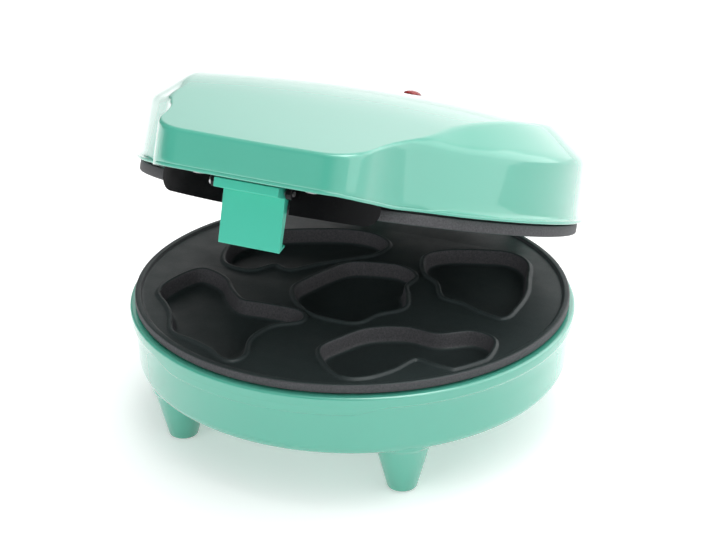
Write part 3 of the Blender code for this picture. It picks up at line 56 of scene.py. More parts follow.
HINGE_AT = Vector((0, (HINGE_Y + SHIFT) * 0.001, HINGE_Z * 0.001))
LID = (Matrix.Translation(HINGE_AT) @ Matrix.Rotation(math.radians(-LID_OPEN), 4, "X") @ MM
       @ Matrix.Translation((0, -HINGE_Y, -HINGE_RISE)))
LID_UP = (LID.to_3x3() @ Vector((0, 0, 1))).normalized()

# Base housing. Points named as a curve or a side are offsets from the radius and height used with them
FLOOR_Z = 23.1
FLOOR_THICK = 2.2
FLOOR_EDGE_R = 86.0
FLOOR_OVERLAP = 0.2
FLOOR_ROUND = 5.8
RIM_Z = 52.7
RIM_ROUND = 1.3
HOUSING_R = 99.5
WALL_FOOT_R = 96.7
INNER_R = 94.5
INNER_TOP = 40.0
INNER_FOOT_CURVE = [(-4.7, 2.2), (-0.2, 2.3), (0.0, 5.8)]
MOUTH_R = 94.0
MOUTH_FOOT = 47.0
BEAD_SIDE = [(0.0, -2.7)]
BEAD_CURVE = [(0.0, -4.1), (-0.05, -4.95), (-0.6, -5.2)]
BEAD_FILLET_CURVE = [(-0.6, -5.2), (-1.45, -5.6), (-1.65, -6.5)]
WALL_SIDE = [(-1.9, -10.7), (-2.3, -15.7), (-2.6, -20.7)]
TURN_STEPS = 288
INLET_R = 5.3
INLET_START = 85.0
INLET_END = 104.0
INLET_RISE = 12.5
VENT_COUNT = 5
VENT_PITCH = 6.2
VENT_HALF = 6.7
VENT_R = 1.3
SCREW_RING = 80.0
SCREW_SPOTS = {"front": (0, -SCREW_RING), "rear": (0, SCREW_RING),
               "left": (-SCREW_RING, 0), "right": (SCREW_RING, 0)}
HEAD_HOLE_R = 3.6

# Legs, hinge lugs and catch lip. A leg's top and neck are measured from the housing's floor, the rest of
# it from the ground
LEG_ANGLE = 40.0
LEG_RING = 82.5
LEG_TOP_SIDE = [(13.2, 3.0)]
LEG_NECK_CURVE = [(13.2, 0.6), (12.3, -0.2), (11.95, -1.6)]
LEG_SIDE = [(10.8, 17.2), (9.3, 11.5), (7.6, 5.2)]
LEG_FOOT_CURVE = [(6.85, 2.6), (6.6, 0.75), (5.4, 0.7)]
LUG_X = 33.0
LUG_WIDTH = 7.0
LUG_EYE_R = 6.6
LUG_ROOT_R = 96.1
LUG_FRONT_Y = 99.0
LUG_FRONT_Z = 47.7
LUG_ROOT_TOP = 46.7
LUG_DROP = 26.0
LUG_SOFT = 0.9
EYE_STEPS = 20
LUG_EYE_TURN = (-45, 180)
CATCH_START = 24.0
CATCH_END = 36.0
CATCH_STEPS = 96
CATCH_R = 99.4
CATCH_INNER_R = 96.0
CATCH_TOP = 4.0
CATCH_DROP = 8.4
CATCH_LIFT = 4.0
CATCH_ROUND = 1.3
CATCH_ROUND_END = 0.02

# Plates. A ring's curve pairs an offset from the plate's radius with a depth below the face, and a mould's
# wall pairs an offset from its outline with such a depth
PLATE_R = 97.0
PLATE_ROUND = 0.8
LOWER_EDGE = 3.8
UPPER_EDGE = 4.7
PLATES_APART = 0.9
DECK_DROP = 1.4
DECK_SETBACK = 4.4
RING_FOOT_SETBACK = 3.8
RING_FOOT_CURVE = [(-3.8, 1.4), (-3.3, 1.36), (-3.0, 0.9)]
RING_TOP_CURVE = [(-3.0, 0.9), (-2.65, 0.05), (-2.0, 0.0)]
RING_TOP_SIDE = [(-1.3, 0.0)]
EDGE_TURNS = [0.2 * index for index in range(8)]
EDGE_ROUND_END = 0.85
EDGE_CHAMFER = 0.4
EDGE_CHAMFER_WIDTH = 0.25
SKIRT_SETBACK = 3.6
SKIRT_WALL = 2.0
SKIRT_DEPTH = 8.6
BACK_SETBACK = 5.8
MOULD_REACH = 35.0
MOULD_LIMIT = 90.5
MOULD_DEPTH = 7.4
MOULD_LIP = 2.9
MOULD_WALL = [
    (2.55, 1.36), (2.2, 1.18), (1.85, 0.80), (1.5, 0.42), (1.15, 0.25), (0.85, 0.22), (0.5, 0.30),
    (0.22, 0.52), (0.04, 0.9), (-0.08, 1.5), (-0.35, 3.2), (-0.75, 5.2), (-1.1, 6.4), (-1.6, 7.0),
    (-2.4, 7.3)]
MOULD_FLOOR_INSET = 3.4
MOULDS = {  # centre, and an outline in shares of the reach
    "bear": (-40.5, -50.5, [
        (-0.97, 0.23), (-0.70, -0.04), (-0.50, -0.28), (-0.26, -0.66), (0.10, -0.77), (0.40, -0.89),
        (0.69, -1.05), (0.80, -0.88), (0.66, -0.45), (0.74, -0.02), (1.00, 0.23), (0.88, 0.46),
        (0.40, 0.46), (0.08, 0.44), (-0.20, 0.66), (-0.46, 0.94), (-0.84, 1.04), (-1.00, 0.60)]),
    "snail": (47.8, -50.4, [
        (-0.94, -0.34), (-0.71, -0.66), (-0.42, -0.86), (-0.16, -0.76), (0.04, -0.46), (0.18, -0.08),
        (0.50, -0.12), (0.80, -0.08), (0.93, 0.28), (0.84, 0.74), (0.54, 0.84), (0.18, 0.60),
        (-0.24, 0.60), (-0.64, 0.38), (-0.84, 0.02)]),
    "chick": (3.7, -3.6, [
        (-0.74, -0.26), (-0.56, -0.57), (-0.26, -0.82), (0.11, -0.88), (0.40, -0.82), (0.52, -0.52),
        (0.74, -0.22), (0.62, 0.14), (0.50, 0.38), (0.50, 0.70), (0.22, 0.88), (-0.16, 0.82),
        (-0.44, 0.68), (-0.60, 0.34), (-0.70, 0.02)]),
    "hedgehog": (46.9, 29.8, [
        (-0.83, 0.37), (-0.64, -0.08), (-0.36, -0.32), (-0.14, -0.66), (0.16, -0.72), (0.42, -0.84),
        (0.74, -0.90), (0.78, -0.58), (0.74, -0.14), (0.62, 0.24), (0.44, 0.72), (0.14, 0.92),
        (-0.24, 0.84), (-0.66, 0.64)]),
    "elephant": (-36.8, 25.7, [
        (-0.89, -0.54), (-0.70, -0.82), (-0.36, -0.84), (-0.15, -0.56), (0.10, -0.62), (0.32, -0.34),
        (0.64, 0.00), (0.90, 0.30), (0.92, 0.64), (0.62, 0.84), (0.24, 0.82), (-0.14, 0.66),
        (-0.50, 0.46), (-0.80, 0.22), (-0.95, -0.12)])}

# Lid outline and roof. Angles are degrees from the front
LID_R = 97.1
DRAFT = 1.0
WALL = 2.2
ROUND = 1.4
FLANGE = 2.3
FLANGE_H = 1.4
FLANGE_SHOULDER = 2.0
FLARE_START, FLARE_END = 37, 50
LID_BOTTOM = 6.6
HANDLE_BOTTOM = 9.8
FALL_START, FALL_END = 18, 33
HANDLE_REACH = 115.2
HANDLE_HALF = 46.3
HANDLE_CORNER = 16.0
HANDLE_BLEND = 30.0
SKIRT_TOP = 32.7
SKIRT_RISE = 1.9
RISE_START, RISE_END = 32, 50
RAMP_TOP = 26.5
RAMP_FOOT = 112.0
RAMP_SLOPE = 0.28
CROWN_TOP = 50.2
CROWN_DROP = 3.8
CROWN_R = 79.0
CROWN_BLEND = 6.0
FACET_SLOPE = 0.80
FACET_BLEND = 1.6
STEEPER = 0.45
STEEPER_START, STEEPER_END = 33, 45
CREASE_TRIES = 24
CREASE_MARGIN = 1.5
CREASE_ROUND_SHARE = 1.5
ROOF_DROP = 2.8
HANDLE_SECTOR = 45.0
HANDLE_STEPS = 220
REAR_STEPS = 260

# Lid shell's section. Edge and curve points are offsets from the radius and height used with them
INNER_SHARES = (0.3, 0.6, 0.85)
INNER_EDGE = [(0.0, 0.5), (0.3, 0.1)]
FOOT_EDGE = [(-0.5, 0.0), (-0.2, 0.08), (-0.05, 0.25), (0.0, 0.55)]
FLANGE_EDGE = [(0.0, -0.35), (-0.08, -0.1)]
FILLET_SETBACK = 0.25
FILLET_LIFT = 0.02
FILLET_RISE = 0.25
FILLET_START_SHARE = 0.2
FILLET_SHARE = 0.1
FILLET_STEPS = 7
SKIRT_SHARES = (0.15, 0.35, 0.55, 0.75, 0.9)
SHOULDER_SETBACK = 0.12
SHOULDER_DROP = 0.1
SHOULDER_STEPS = 8
FACET_STEPS = 5
CREASE_OFFSETS = (1.0, 0.5, 0, -0.5, -1.0, -1.5, -2.5)
CROWN_SHARES = (0.94, 0.88, 0.8, 0.7, 0.6, 0.5, 0.4, 0.3, 0.2, 0.1)
ARM_GAP = 0.6
ARM_ROOT_R = 95.4
ARM_TOP = 25.0
ARM_FOOT = 8.2
ARM_EYE_TURN = (-153, 63)
POST_X = 25
POST_Y = -105
POST_R = 3.6
POST_END_R = 3.4
POST_FOOT = 13.4
POST_CHAMFER = 0.4
POST_SINK = 1

# Liner
COLLAR_R = 94.0
COLLAR_INNER_R = 90.6
COLLAR_FOOT = 10.5
COLLAR_TOP = 23.2
COLLAR_CHAMFER = 0.3
COLLAR_JOIN_R = 92.3
LINER_GAP = 0.6
LINER_FLOOR_Z = 12.0
LINER_FLOOR = 2.2
LINER_SECTOR = 41
LINER_STEPS = 60
COLLAR_STEPS = 80
BAY_HALF = 15.0
BAY_BACK = -101.8
POST_HOLE_R = 1.8
APRON_R = 103.0
APRON_WALL = 4.0
APRON_HALF = 49.0
APRON_CORNER = 6.0
APRON_CORNER_LIMIT = 5.994
APRON_DROP = 1.5
APRON_TOP = 9.5
APRON_NECK_SETBACK = 0.6
APRON_SOFT = 0.45
PIN_Y = -105.6
PIN_Z = 7.2
EAR_R = 2.7
EAR_X = 15.3
EAR_WIDTH = 2.6
EAR_SOFT = 0.3
TAB_R = 4.6
TAB_THICK = 2.5
TAB_Z = 19.6
TAB_STEPS = 20

# Latch and lamp
LEDGE_FRONT = -112.4
LEDGE_TOP = 9.2
LEDGE_BOTTOM = 5.3
LATCH_EYE_R = 2.6
LATCH_BAR_HALF = 14.4
LATCH_PLATE_HALF = 13.7
LATCH_SOFT = 0.45
LATCH_PLATE = [(-104.6, 8.0), (-102.6, -17.0), (-102.2, -17.4), (-98.3, -14.9), (-98.3, -13.8),
               (-100.6, -15.2), (-100.6, 8.0)]
LENS_Y = 45
LENS_R = 4.2
LENS_RISE = 1.7
LENS_SEAT = 0.5
LENS_STEPS = 24
LENS_STEM_R = 3.0
LENS_STEM_DROP = 4.8
LENS_EDGE_R = 4.15
LENS_EDGE_DROP = 0.1
RIPPLE = 0.05
RIPPLE_COUNT = 34
BEZEL_R = 4.7
BEZEL_INNER_R = 3.6
BEZEL_SINK = 0.2
BEZEL_EDGE = (4.75, 0.35)
BEZEL_TOP = (4.3, 0.5)

# Studio, in metres
FLOOR_HALF = 4.0
FLOOR_GLOW = 0.36
ZONE_REST = 0.95
LIGHT_ZONES = (  # direction, the cosines where it starts and is full, and its share of the light there
    ((-0.42, -0.88, 0.21), 0.45, 0.90, 0.05),
    ((-0.97, 0.05, 0.22), 0.30, 0.90, 0.15),
    ((0.36, 0.92, 0.15), 0.10, 0.95, 1.7))
AIM = (0, 0, 0.1)
CARD_AIM = (0, 0, 0.12)
PHOTO_WIDTH = 716
FOCAL_PIXELS = 2000
SENSOR_WIDTH = 36.0
CAMERA_TURN = 25.13
CAMERA_RISE = 24.72
CAMERA_AT = (0.3470, -0.74245, 0.4379)
CLIP_START, CLIP_END = 0.05, 20


# Materials, all made of nodes

class Look:
    """A principled material with its coordinates, and short ways to add texture to it."""

    def __init__(self, name, colour, roughness, metallic=0.0, **sockets):
        self.material = bpy.data.materials.new(name)
        self.material.use_nodes = True
        self.tree = self.material.node_tree
        self.shader = self.tree.nodes["Principled BSDF"]
        self.set("Base Color", (*colour, 1))
        self.set("Roughness", roughness)
        self.set("Metallic", metallic)
        for socket, value in sockets.items():
            self.set(socket.replace("_", " ").title(), value)
        self.coords = self.add("ShaderNodeTexCoord").outputs["Object"]

    def set(self, socket, value):
        names = {"Ior": "IOR", "Specular Ior Level": "Specular IOR Level"}
        self.shader.inputs[names.get(socket, socket)].default_value = value

    def add(self, kind, **values):
        node = self.tree.nodes.new(kind)
        for name, value in values.items():
            setattr(node, name, value)
        return node

    def link(self, source, target):
        self.tree.links.new(source, target)

    def noise(self, scale, detail=3.0, rough=0.55, stretch=None):
        node = self.add("ShaderNodeTexNoise")
        node.inputs["Scale"].default_value = scale
        node.inputs["Detail"].default_value = detail
        node.inputs["Roughness"].default_value = rough
        source = self.coords
        if stretch:
            mapping = self.add("ShaderNodeMapping")
            mapping.inputs["Scale"].default_value = stretch
            self.link(source, mapping.inputs["Vector"])
            source = mapping.outputs["Vector"]
        self.link(source, node.inputs["Vector"])
        return node.outputs["Fac"]

    def cells(self, scale, feature="F1"):
        node = self.add("ShaderNodeTexVoronoi", feature=feature)
        node.inputs["Scale"].default_value = scale
        self.link(self.coords, node.inputs["Vector"])
        return node.outputs["Distance"]

    def spread(self, source, low, high, start=0.3, end=0.7):
        node = self.add("ShaderNodeMapRange")
        for socket, value in (("From Min", start), ("From Max", end), ("To Min", low), ("To Max", high)):
            node.inputs[socket].default_value = value
        self.link(source, node.inputs["Value"])
        return node.outputs["Result"]

    def mix(self, factor, first, second):
        node = self.add("ShaderNodeMix", data_type="RGBA")
        self.link(factor, node.inputs["Factor"])
        colours = [item for item in node.inputs if item.type == "RGBA"]
        for item, value in zip(colours, (first, second)):
            if isinstance(value, tuple):
                item.default_value = (*value, 1)
            else:
                self.link(value, item)
        return [item for item in node.outputs if item.type == "RGBA"][0]

    def facing(self, axis, start, end):
        """1 where the surface faces along the axis either way, 0 where it stands beside it."""
        geometry = self.add("ShaderNodeTexCoord")
        dot = self.add("ShaderNodeVectorMath", operation="DOT_PRODUCT")
        self.link(geometry.outputs["Normal"], dot.inputs[0])
        dot.inputs[1].default_value = axis
        size = self.add("ShaderNodeMath", operation="ABSOLUTE")
        self.link(dot.outputs["Value"], size.inputs[0])
        return self.spread(size.outputs[0], 0.0, 1.0, start, end)

    def colour(self, source):
        self.link(source, self.shader.inputs["Base Color"])

    def roughness(self, source):
        self.link(source, self.shader.inputs["Roughness"])

    def bump(self, height, strength, distance=0.0002):
        node = self.add("ShaderNodeBump")
        node.inputs["Strength"].default_value = strength
        node.inputs["Distance"].default_value = distance
        self.link(height, node.inputs["Height"])
        old = self.shader.inputs["Normal"].links
        if old:
            self.link(old[0].from_socket, node.inputs["Normal"])
        self.link(node.outputs["Normal"], self.shader.inputs["Normal"])


def plastic(name, light, dark, gloss, coat, ior, grain=0.035):
    """Glossy moulded plastic: slow colour drift, uneven gloss and faint orange peel."""
    low, high = gloss
    look = Look(name, light, low, coat_weight=coat, coat_roughness=0.06, ior=ior)
    look.colour(look.mix(look.spread(look.noise(22, detail=4), 0, 1), light, dark))
    look.roughness(look.spread(look.noise(120, detail=3, rough=0.5), low, high))
    look.bump(look.noise(180, detail=1), strength=grain, distance=0.0001)
    return look.material


def coating(name, axis):
    """Dark non-stick coating: smooth on the face, greyer and pebbled on the cast edge."""
    look = Look(name, (0.03, 0.036, 0.038), 0.46, ior=1.45, specular_ior_level=0.30)
    face = look.facing(axis, start=0.45, end=0.75)
    speck = look.spread(look.cells(1500), 1, 0, start=0.05, end=0.42)
    flat = look.mix(speck, (0.034, 0.047, 0.047), (0.052, 0.068, 0.068))
    pebble = look.spread(look.noise(1400, detail=5, rough=0.7), 0, 1)
    side = look.mix(pebble, (0.045, 0.046, 0.050), (0.105, 0.105, 0.112))
    look.colour(look.mix(face, side, flat))
    smooth = look.spread(look.noise(90, detail=4), 0.38, 0.50)
    rough = look.add("ShaderNodeMix", data_type="FLOAT")
    look.link(face, rough.inputs["Factor"])
    rough.inputs["A"].default_value = 0.58
    look.link(smooth, rough.inputs["B"])
    look.roughness(rough.outputs["Result"])
    look.bump(look.noise(1500, detail=4, rough=0.65), strength=0.30, distance=0.00012)
    look.bump(look.noise(350, detail=2), strength=0.06, distance=0.0004)
    return look.material


def metal(name, colour, gloss, stretch, scale=300, bump=0.06):
    """Bare metal with drawn grain, uneven polish and slight tarnish."""
    low, high = gloss
    look = Look(name, colour, low, 1.0)
    grain = look.noise(scale, detail=6, rough=0.7, stretch=stretch)
    tarnish = tuple(value * 0.72 for value in colour)
    look.colour(look.mix(look.spread(look.noise(60, detail=5), 0, 1), colour, tarnish))
    look.roughness(look.spread(grain, low, high))
    look.bump(grain, strength=bump, distance=0.0001)
    return look.material


def ceramic():
    look = Look("ceramic", (0.80, 0.76, 0.68), 0.55)
    cloud = look.spread(look.noise(500, detail=5), 0, 1)
    look.colour(look.mix(cloud, (0.82, 0.79, 0.71), (0.72, 0.67, 0.58)))
    look.bump(look.noise(1800, detail=4), strength=0.25, distance=0.0001)
    return look.material


def red_lens():
    look = Look("red_lens", (0.62, 0.012, 0.010), 0.08, ior=1.5, transmission_weight=0.25, coat_weight=0.5)
    prism = look.spread(look.cells(900), 0, 1, start=0.1, end=0.6)
    look.colour(look.mix(prism, (0.72, 0.020, 0.014), (0.42, 0.004, 0.004)))
    look.roughness(look.spread(look.noise(700, detail=3), 0.05, 0.14))
    look.bump(look.cells(1300), strength=0.12, distance=0.0002)
    return look.material


def lamp_glass():
    look = Look("lamp_glass", (0.95, 0.72, 0.52), 0.06, ior=1.48, transmission_weight=0.85)
    look.roughness(look.spread(look.noise(900, detail=3), 0.03, 0.12))
    look.bump(look.noise(600, detail=2), strength=0.08, distance=0.0001)
    return look.material


def foot_rubber():
    look = Look("foot_rubber", (0.03, 0.03, 0.03), 0.8)
    dust = look.spread(look.noise(400, detail=5), 0, 1)
    look.colour(look.mix(dust, (0.022, 0.022, 0.023), (0.045, 0.044, 0.043)))
    look.roughness(look.spread(look.noise(900, detail=4), 0.7, 0.92))
    look.bump(look.noise(2200, detail=4), strength=0.35, distance=0.0001)
    return look.material


def glass_fibre_sleeve():
    look = Look("glass_fibre_sleeve", (0.80, 0.78, 0.72), 0.85)
    weave = look.cells(2400, "DISTANCE_TO_EDGE")
    gap = look.spread(weave, 0, 1, start=0.0, end=0.25)
    look.colour(look.mix(gap, (0.50, 0.47, 0.40), (0.84, 0.82, 0.76)))
    look.bump(weave, strength=0.6, distance=0.0002)
    return look.material


def make_looks():
    """Every material by its slot. The two plates differ in the axis that their faces look along."""
    return {
        "mint_enamel": plastic("mint_enamel", (0.094, 0.498, 0.368), (0.091, 0.488, 0.360),
                               gloss=(0.24, 0.27), coat=1.0, ior=1.6, grain=0.012),
        "mint_latch": plastic("mint_latch", (0.064, 0.590, 0.425), (0.057, 0.560, 0.400),
                              gloss=(0.30, 0.40), coat=0.2, ior=1.5),
        "black_moulding": plastic("black_moulding", (0.006, 0.007, 0.007), (0.004, 0.004, 0.005),
                                  gloss=(0.13, 0.24), coat=0.0, ior=1.3, grain=0.05),
        "lower_coating": coating("lower_non_stick", (0, 0, 1)),
        "upper_coating": coating("upper_non_stick", tuple(LID_UP)),
        "zinc_plated_steel": metal("zinc_plated_steel", (0.60, 0.60, 0.62), gloss=(0.26, 0.42),
                                   stretch=(1, 1, 3)),
        "heater_tube_steel": metal("heater_tube_steel", (0.30, 0.27, 0.24), gloss=(0.34, 0.58),
                                   stretch=(1, 1, 1), scale=500, bump=0.12),
        "aluminised_sheet": metal("aluminised_sheet", (0.72, 0.72, 0.73), gloss=(0.24, 0.44),
                                  stretch=(1, 0.1, 1), scale=400),
        "ceramic": ceramic(),
        "red_lens": red_lens(),
        "lamp_glass": lamp_glass(),
        "foot_rubber": foot_rubber(),
        "glass_fibre_sleeve": glass_fibre_sleeve()}


# Shape helpers

def finish_mesh(name, bm, place, look, body, angle=32):
    bmesh.ops.remove_doubles(bm, verts=bm.verts, dist=MERGE)
    bmesh.ops.recalc_face_normals(bm, faces=bm.faces)
    mesh = bpy.data.meshes.new(name)
    bm.to_mesh(mesh)
    bm.free()
    mesh.transform(place)
    mesh.shade_smooth()
    mesh.set_sharp_from_angle(angle=math.radians(angle))
    mesh.materials.append(look)
    obj = bpy.data.objects.new(name, mesh)
    bpy.context.scene.collection.objects.link(obj)
    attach(obj, body)
    return obj


def base_piece(name, bm, angle=32):
    return finish_mesh(name, bm, BASE, LOOKS["mint_enamel"], "base", angle)


def lid_piece(name, bm, slot="mint_enamel", angle=32):
    return finish_mesh(name, bm, LID, LOOKS[slot], "lid", angle)


def liner_piece(name, bm):
    return lid_piece(name, bm, "black_moulding")


def latch_piece(name, bm):
    return finish_mesh(name, bm, LID, LOOKS["mint_latch"], "latch")


def loft_mesh(rings, caps=(True, True), joined=False):
    """Mesh through rings of equally many points. A ring of one point is a pole, joined closes the section."""
    bm = bmesh.new()
    loops = [[bm.verts.new(point) for point in ring] for ring in rings]
    pairs = list(zip(loops, loops[1:])) + ([(loops[-1], loops[0])] if joined else [])
    for low, high in pairs:
        count = max(len(low), len(high))
        for index in range(count):
            follow = (index + 1) % count
            corners = [low[index % len(low)], low[follow % len(low)]]
            corners += [high[follow % len(high)], high[index % len(high)]]
            corners = list(dict.fromkeys(corners))
            if len(corners) > 2:
                bm.faces.new(corners)
    for wanted, end in zip(caps, (loops[0], loops[-1])):
        if wanted and not joined and len(end) > 2:
            bm.faces.new(end)
    return bm


def turned(profile, steps=256, joined=False, x=0.0, y=0.0):
    rings = []
    for radius, height in profile:
        if radius == 0:
            rings.append([(x, y, height)])
            continue
        turn = [math.tau * index / steps for index in range(steps)]
        rings.append([(x + radius * math.cos(a), y + radius * math.sin(a), height) for a in turn])
    return loft_mesh(rings, (False, False), joined)


def arc(centre, radius, start, end, steps):
    angles = [math.radians(start + (end - start) * index / steps) for index in range(steps + 1)]
    return [(centre[0] + radius * math.cos(a), centre[1] + radius * math.sin(a)) for a in angles]


def circle(radius, steps, centre=(0, 0)):
    return arc(centre, radius, 0, 360 - 360 / steps, steps - 1)


def shifted(points, x, y):
    return [(x + a, y + b) for a, b in points]


def curve_through(start, control, end, steps=6):
    """Points on a quadratic curve, without its first point."""
    result = []
    for index in range(1, steps + 1):
        t = index / steps
        pairs = zip(start, control, end)
        result.append(tuple((1 - t) ** 2 * a + 2 * t * (1 - t) * b + t * t * c for a, b, c in pairs))
    return result


def smooth_loop(points, steps=10):
    """A closed curve through all points."""
    count = len(points)
    result = []
    for index in range(count):
        a, b, c, d = [Vector(points[(index + shift) % count]) for shift in (-1, 0, 1, 2)]
        square, cube = 2 * a - 5 * b + 4 * c - d, 3 * b - a - 3 * c + d
        for step in range(steps):
            t = step / steps
            result.append(b + ((c - a) * t + square * t ** 2 + cube * t ** 3) / 2)
    return result


def grown(outline, distance):
    result = []
    for index, point in enumerate(outline):
        tangent = outline[(index + 2) % len(outline)] - outline[index - 2]
        result.append(point + Vector((tangent.y, -tangent.x)).normalized() * distance)
    return result


def filled(outlines, thickness=0.0):
    """Flat sheet with holes on z = 0, as a mesh. A thickness extrudes it evenly about z = 0."""
    data = bpy.data.curves.new("sheet", "CURVE")
    data.dimensions = "2D"
    data.fill_mode = "BOTH"
    data.extrude = thickness / 2
    for outline in outlines:
        line = data.splines.new("POLY")
        line.points.add(len(outline) - 1)
        for point, place in zip(line.points, outline):
            point.co = (place[0], place[1], 0, 1)
        line.use_cyclic_u = True
    helper = bpy.data.objects.new("sheet", data)
    bpy.context.scene.collection.objects.link(helper)
    bpy.context.view_layer.update()
    mesh = bpy.data.meshes.new_from_object(helper.evaluated_get(bpy.context.evaluated_depsgraph_get()))
    bm = bmesh.new()
    bm.from_mesh(mesh)
    bpy.data.objects.remove(helper, do_unlink=True)
    bpy.data.meshes.remove(mesh)
    return bm


def raised(bm, height):
    bmesh.ops.translate(bm, verts=bm.verts, vec=(0, 0, height))
    return bm


def slab(outline, low, high):
    """Outline in the YZ plane, extruded along X."""
    return loft_mesh([[(x, y, z) for y, z in outline] for x in (low, high)])


def rooted_slab(outline, low, high, root_radius):
    """A slab whose points without a y lie on a circle about the object's axis."""
    rings = []
    for x in (low, high):
        root = math.sqrt(root_radius ** 2 - x ** 2)
        rings.append([(x, root if y is None else y, z) for y, z in outline])
    return loft_mesh(rings)


def soften(obj, width, segments=3, angle=35):
    change = obj.modifiers.new("soft_edges", "BEVEL")
    change.width = width * 0.001
    change.segments = segments
    change.limit_method = "ANGLE"
    change.angle_limit = math.radians(angle)
    change.harden_normals = True


def merged(*parts):
    """One bmesh from several."""
    whole = parts[0]
    for part in parts[1:]:
        mesh = bpy.data.meshes.new("part")
        part.to_mesh(mesh)
        part.free()
        whole.from_mesh(mesh)
        bpy.data.meshes.remove(mesh)
    return whole


def cut(obj, bm, place):
    """Cuts the closed shape bm out of the object's mesh."""
    bmesh.ops.recalc_face_normals(bm, faces=bm.faces)
    data = bpy.data.meshes.new("cutter")
    bm.to_mesh(data)
    bm.free()
    data.transform(place)
    cutter = bpy.data.objects.new("cutter", data)
    bpy.context.scene.collection.objects.link(cutter)
    change = obj.modifiers.new("cut", "BOOLEAN")
    change.operation = "DIFFERENCE"
    change.solver = "EXACT"
    change.object = cutter
    bpy.context.view_layer.update()
    made = bpy.data.meshes.new_from_object(obj.evaluated_get(bpy.context.evaluated_depsgraph_get()))
    obj.modifiers.clear()
    obj.data = made
    bpy.data.objects.remove(cutter, do_unlink=True)


# Lid outline and roof, the same rules as the frame's, with the front's foot, skirt and facet nearer the photo

def smooth_min(first, second, blend):
    share = max(blend - abs(first - second), 0) / blend
    return min(first, second) - share ** 2 * blend / 4


def ease(value, start, end):
    share = min(max((value - start) / (end - start), 0), 1)
    return share ** 2 * (3 - 2 * share)


def eased_turn(angle, start, end):
    """0 up to the start and 1 from the end, for an angle in radians either way from the front."""
    return ease(math.degrees(abs(angle)), start, end)


def plain_share(angle):
    """0 on the handle, where the wall is plain, and 1 where it has its draft and flange."""
    return eased_turn(angle, FLARE_START, FLARE_END)


def outline_radius(angle, inset):
    side, front = abs(math.sin(angle)), math.cos(angle)
    round_part = LID_R - inset
    if front <= 0:
        return round_part
    half, reach, corner = HANDLE_HALF - inset, HANDLE_REACH - inset, HANDLE_CORNER - inset
    if side * reach <= (half - corner) * front:
        handle = reach / front
    elif half * front <= (reach - corner) * side:
        handle = half / side
    else:
        along = (half - corner) * side + (reach - corner) * front
        aside = (half - corner) ** 2 + (reach - corner) ** 2 - along ** 2
        handle = along + math.sqrt(corner ** 2 - aside)
    return -smooth_min(-round_part, -handle, HANDLE_BLEND)


def polar(angle, radius, height):
    return radius * math.sin(angle), -radius * math.cos(angle), height


def crown(x, y):
    ramp = RAMP_TOP + RAMP_SLOPE * (y + RAMP_FOOT)
    dome = CROWN_TOP - CROWN_DROP * (x * x + y * y) / CROWN_R ** 2
    return smooth_min(ramp, dome, CROWN_BLEND)


def crown_at(angle, radius):
    return crown(*polar(angle, radius, 0)[:2])


def rim_radius(angle):
    return outline_radius(angle, DRAFT * plain_share(angle))


def skirt_top(angle):
    rise = SKIRT_RISE * (1 - eased_turn(angle, RISE_START, RISE_END))
    return min(crown_at(angle, rim_radius(angle)), SKIRT_TOP + rise)


def facet(angle, radius):
    slope = FACET_SLOPE + STEEPER * (1 - eased_turn(angle, STEEPER_START, STEEPER_END))
    return skirt_top(angle) + slope * (rim_radius(angle) - radius)


def roof_at(angle, radius):
    return smooth_min(crown_at(angle, radius), facet(angle, radius) + FACET_BLEND / 4, FACET_BLEND)


def ceiling_at(angle, radius):
    return roof_at(angle, radius) - ROOF_DROP


def crease_radius(angle):
    low, high = CROWN_R / 2, rim_radius(angle)
    for _ in range(CREASE_TRIES):
        middle = (low + high) / 2
        if facet(angle, middle) > crown_at(angle, middle):
            low = middle
        else:
            high = middle
    return min(low, rim_radius(angle) - ROUND * CREASE_ROUND_SHARE - CREASE_MARGIN)


def lid_foot(angle):
    return HANDLE_BOTTOM + (LID_BOTTOM - HANDLE_BOTTOM) * eased_turn(angle, FALL_START, FALL_END)


def flange_radius(angle):
    return outline_radius(angle, 0) + FLANGE * plain_share(angle)


def shell_profile(angle):
    """Section of the shell at one angle: the ceiling outwards, the inner wall, round the edge and back up."""
    rim, crease = rim_radius(angle), crease_radius(angle)
    foot, flange, side = lid_foot(angle), flange_radius(angle), outline_radius(angle, 0)
    ceiling = [crease * share for share in INNER_SHARES] + [crease - CREASE_MARGIN]
    ceiling += [outline_radius(angle, WALL + DRAFT * plain_share(angle))]
    section = [(radius, ceiling_at(angle, radius)) for radius in ceiling]
    section += shifted(INNER_EDGE, outline_radius(angle, WALL), foot)
    section += shifted(FOOT_EDGE, flange, foot)
    flange_top = foot + FLANGE_H
    section += shifted(FLANGE_EDGE, flange, flange_top)
    flare = FLANGE * plain_share(angle)
    start = (flange - FILLET_SETBACK - FILLET_START_SHARE * flare, flange_top + FILLET_LIFT)
    top = (side, flange_top + FLANGE_SHOULDER)
    fillet = (side + FILLET_SHARE * flare, flange_top + FILLET_RISE)
    section += [start] + curve_through(start, fillet, top, FILLET_STEPS)
    upper = (rim, skirt_top(angle) - ROUND)
    for share in SKIRT_SHARES:
        section.append((top[0] + (upper[0] - top[0]) * share, top[1] + (upper[1] - top[1]) * share))
    section.append(upper)
    shoulder = (rim - ROUND, roof_at(angle, rim - ROUND))
    bend = (rim - SHOULDER_SETBACK, skirt_top(angle) - SHOULDER_DROP)
    section += curve_through(upper, bend, shoulder, SHOULDER_STEPS)
    outer = crease + CREASE_MARGIN
    roof = [shoulder[0] + (outer - shoulder[0]) * (index + 1) / FACET_STEPS for index in range(FACET_STEPS)]
    roof += [crease + offset for offset in CREASE_OFFSETS] + [crease * share for share in CROWN_SHARES]
    return section + [(radius, roof_at(angle, radius)) for radius in roof]


# Pieces

